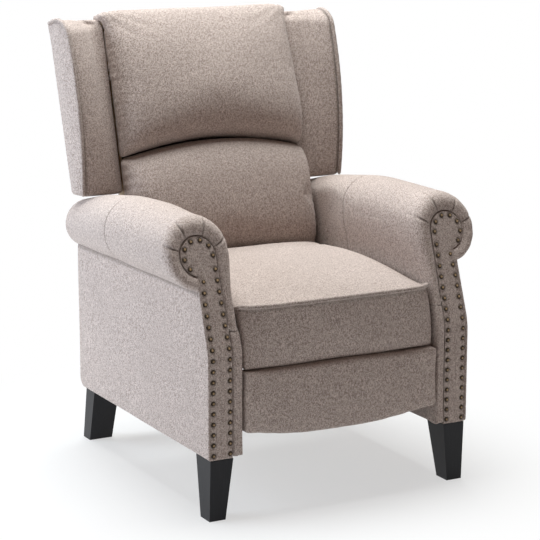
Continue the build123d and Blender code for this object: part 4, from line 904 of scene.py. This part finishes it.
def head_relief(place):
    """Gathers drawn along both side seams and fanned round the top corners."""
    h, t = back_place(place)
    x = place[:, 0]
    side, top = HEAD_W - np.abs(x), HEAD_TOP - h
    gather = np.sin(h / 2.7 + 1.8 * np.sin(h / 19)) + 0.8 * np.sin(h / 4.4)
    depth = 0.45 * gather * np.exp(-np.maximum(side, 0) / 9) * rise(52, 60, t)
    away = np.hypot(side, top)
    depth += 1.7 * fan(side, top, 11) * np.exp(-away / 20) * rise(2, 8, away)
    depth += 0.9 * np.sin(x / 70 + h / 55) + 0.6 * np.sin(x / 41 - h / 37)
    return depth, 0 * depth


def lumbar_relief(place):
    """Gathers at the sides, and tucks fanned from both ends of the arched crease."""
    h, t = back_place(place)
    x = place[:, 0]
    side, top = LUMBAR_W - np.abs(x), arch(x / LUMBAR_W) - h
    gather = np.sin(h / 3.1 + 1.6 * np.sin(h / 23))
    depth = 0.7 * gather * np.exp(-side / 15) * rise(52, 60, t)
    away = np.hypot(side, top)
    depth += 1.6 * fan(side, top, 9) * np.exp(-away / 24) * rise(2, 8, away)
    depth += 0.9 * np.sin(x / 83 + h / 48)
    return depth, 0 * depth


def seat_relief(place):
    """The seamed edge under the piping, and a slow unevenness of the stuffing; the dark band beside the piping is
    partly seam and partly painted shade under the piping.
    """
    x, y, z = place.T
    s = np.clip(x / SEAT_W, -1, 1)
    away = np.hypot(y - seat_front(s) + 2, z - SEAT_EDGE_Z)
    depth = -3.2 * bell(away, 6)
    depth += (0.9 * np.sin(x / 74 + y / 61) + 0.6 * np.sin(x / 43 - y / 52)) * rise(10, 60, away) * (z > 440)
    depth += 0.7 * np.sin(x / 33 + 1.2 * np.sin(z / 30)) * (z < 440) * (y < -345) * rise(8, 40, away)
    # The second value is a dark band along the piping: partly seam, partly painted shade under and behind the
    # piping.
    return depth, bell(away - 6.0, 3.6)


def footrest_relief(place):
    """A slow unevenness over the face and small gathers at the lower corners."""
    x, y, z = place.T
    side, low = REST_W - np.abs(x), z - (REST_LOW + REST_RISE * (x / REST_W) ** 2)
    depth = 0.6 * np.sin(x / 58 + z / 40) + 0.4 * np.sin(x / 31 - z / 26)
    depth += 0.9 * fan(side, low, 10) * np.exp(-np.hypot(side, low) / 18)
    return depth * (y < REST_BACK_Y - 6), 0 * depth


def seat_held(place):
    """Vertices of the seat along its seamed front edge, its sides, its tail and its floor."""
    x, y, z = place.T
    edge = np.hypot(y - seat_front(np.clip(x / SEAT_W, -1, 1)), z - (SEAT_EDGE_Z - 2)) < 7
    floor = (z < SEAT_FLOOR_Z + 4) & (y > APRON_BACK_Y - 4)
    return edge | floor | (y > 150) | (np.abs(x) > SEAT_W - 4) | (z < APRON_Z + 4)


def back_held(place):
    """Vertices of a back cushion that lie against the back."""
    return back_place(place)[1] < PAD_T + 6


def footrest_held(place):
    """Vertices of the footrest's pad that lie against its board."""
    return place[:, 1] > REST_BACK_Y - 8


seat_hubs = [[-SEAT_W, *SEAT_HUB], [SEAT_W, *SEAT_HUB]]
seat = skin("seat_pad", seat_rings(), "seat", ["seat_cushion"], seat_hubs)
lumbar = skin("lumbar_pillow", lumbar_rings(), "back", ["lumbar_cushion"], None)
head = skin("head_pillow", head_rings(), "back", ["head_cushion"], None)
footrest = skin("footrest_cover", footrest_rings(), "footrest", ["footrest_pad"], None)
plump([(seat, seat_held, 0.4), (lumbar, back_held, 0.7), (head, back_held, 0.4), (footrest, footrest_held, 0.15)])
sew(seat, seat_relief)
sew(lumbar, lumbar_relief)
sew(head, head_relief)
sew(footrest, footrest_relief)

for hand in ("left", "right"):
    arm_roll(hand)
    arm_border(hand)
    arm_lining(hand)
    arm_facing(hand)
    side_panel(hand)
    wing(hand)
wing_piping()
arm_piping()
seat_piping()


# Covered boards behind
def rear_cover():
    """Rear of the base: a thin covered panel across both arms, carried up at its ends to the rolls."""
    s, q = spread(170)[:, None], spread(60)[None, :]
    low = LEG_H + 1
    top = REAR_TOP + REAR_EAR * rise(249, 255, np.abs(REAR_W * s))
    x, z = REAR_W * s + 0 * q, low + (top - low) * (q + 1) / 2
    heel = HEEL_R - np.sqrt(HEEL_R ** 2 - np.clip(LEG_H + HEEL_R - z, 0, HEEL_R - 3.5) ** 2)
    puff = REAR_T - np.minimum(heel, 15) + 1.2 * (1 - s ** 4) * (1 - q ** 4)
    y = REAR_BACK_Y + puff * dome(s, 30) * dome(q, 24)
    flat = np.stack([x, 0 * y + REAR_BACK_Y, z], -1)[:, ::-1]
    rings = np.concatenate([np.stack([x, y, z], -1), flat], axis=1)
    skin("rear_base_cover", rings, "base", ["rear_base_panel"], None)


def outside_cover():
    """Outside back: a thin covered panel, narrow between the arms and full width behind the wings."""
    narrow, wide = OUTSIDE_STEP
    h = np.concatenate([
        OUTSIDE_LOW + 4 * (1 - np.cos(quarter(6))), np.linspace(OUTSIDE_LOW + 5, narrow - 2, 40),
        np.linspace(narrow, wide, 8), np.linspace(wide + 3, OUTSIDE_TOP - 5.5, 80),
        OUTSIDE_TOP - 4.5 + 4.5 * np.sin(quarter(6))])[:, None]
    s = spread(120)[None, :]
    flare = OUTSIDE_WIDE + OUTSIDE_FLARE * (h - 193) / (600 - 193)
    across = (OUTSIDE_NARROW + (flare - OUTSIDE_NARROW) * rise(narrow, wide, h)) * s
    end = dome(np.clip((h - 309) / 288.6, -1, 1), 40)
    depth = OUTSIDE_DEPTH - (OUTSIDE_DEPTH + 1.6 * (1 - s ** 4)) * dome(s, 30) * end
    front = back_frame(across, h + 0 * s, depth)
    back = back_frame(across, h + 0 * s, OUTSIDE_DEPTH + 0.1 + 0 * depth)[:, ::-1]
    skin("outside_back_cover", np.concatenate([front, back], axis=1), "back", ["outside_back"], None)


rear_cover()
outside_cover()

# Finishes of the parts that stay as they are
slots = {part["node"]: part["material_slot"] for part in frame["record"]["subparts"]}
for name, part in frame["nodes"].items():
    part.data.materials.clear()
    part.data.materials.append(FINISHES[slots[name]])


# Floor, light and camera
def pale_floor():
    """Pale floor that fades to white away from the chair."""
    reach, count = 9.0, 33
    line = np.linspace(-reach, reach, count)
    grid_x, grid_y = np.meshgrid(line, line, indexing="ij")
    index = np.arange(count * count).reshape(count, count)
    quads = np.stack([index[:-1, :-1], index[1:, :-1], index[1:, 1:], index[:-1, 1:]], axis=-1).reshape(-1, 4)
    mesh = bpy.data.meshes.new("floor")
    mesh.from_pydata(np.stack([grid_x, grid_y, 0 * grid_x], axis=-1).reshape(-1, 3), [], quads.tolist())
    floor = bpy.data.objects.new("floor", mesh)
    bpy.context.scene.collection.objects.link(floor)
    material, shader, place = finish("pale_floor", Roughness=0.7, Specular_IOR_Level=0.2)
    feed(shader, Base_Color=place.noise(3.0).mix((0.80, 0.80, 0.80, 1.0), (0.84, 0.84, 0.84, 1.0)))
    away = place.node("ShaderNodeVectorMath", {"operation": "LENGTH"}, {0: place}, out="Value").step(0.35, 0.95)
    share = (away * (1 - FLOOR_WHITE) + FLOOR_WHITE) * place.seen()
    lit = Thread(place.tree, place.tree.nodes["Principled BSDF"].outputs[0])
    white = place.node("ShaderNodeEmission", None, {"Strength": 1.0})
    mixed = place.node("ShaderNodeMixShader", None, {0: share, 1: lit, 2: white})
    place.tree.links.new(mixed.socket, place.tree.nodes["Material Output"].inputs["Surface"])
    mesh.materials.append(material)


def studio_light():
    """White surroundings that light the chair dimly and warmly, a high soft lamp and a cool one at the left."""
    world = bpy.data.worlds.new("studio")
    bpy.context.scene.world = world
    world.use_nodes = True
    tree = world.node_tree
    seen = Thread(tree).seen().step(0.0, 1.0)
    ground = tree.nodes["Background"]
    tint = seen.mix((1.0, 0.74, 0.62, 1.0), (1.0, 1.0, 1.0, 1.0))
    feed(ground.inputs, Color=tint, Strength=0.13 + seen * 0.87)

    for name, place, size, power, colour in (
        ("high", (0.05, 0.5, 3.1), 2.0, 134.0, (0.95, 1.0, 1.0)),
        ("left", (-3.0, 1.4, 1.2), 2.4, 112.0, (0.75, 0.87, 1.0)),
    ):
        lamp = bpy.data.lights.new(name, "AREA")
        lamp.size, lamp.energy, lamp.color = size, power, colour
        holder = bpy.data.objects.new(name, lamp)
        bpy.context.scene.collection.objects.link(holder)
        holder.location = place
        aim = np.array([0.0, 0.0, 0.45]) - np.array(place)
        flat = math.hypot(aim[0], aim[1])
        holder.rotation_euler = (math.atan2(flat, -aim[2]), 0.0, math.atan2(-aim[0], aim[1]))


def photo_camera():
    """Camera where the photograph was taken from: front left, a little above the arms."""
    turn, lift, away = math.radians(-28.2892), math.radians(12.0734), 4.54258
    target = (0.0128, -0.026, 0.4476)
    camera = bpy.data.cameras.new("photo")
    camera.sensor_width, camera.lens = 36.0, 131.87
    camera.clip_start, camera.clip_end = 0.1, 60.0
    holder = bpy.data.objects.new("photo", camera)
    bpy.context.scene.collection.objects.link(holder)
    back = (math.sin(turn) * math.cos(lift), -math.cos(turn) * math.cos(lift), math.sin(lift))
    holder.location = [target[axis] + away * back[axis] for axis in range(3)]
    holder.rotation_euler = (math.pi / 2 - lift, 0.0, turn)
    bpy.context.scene.camera = holder


pale_floor()
studio_light()
photo_camera()
bpy.context.scene.view_settings.view_transform = "Standard"
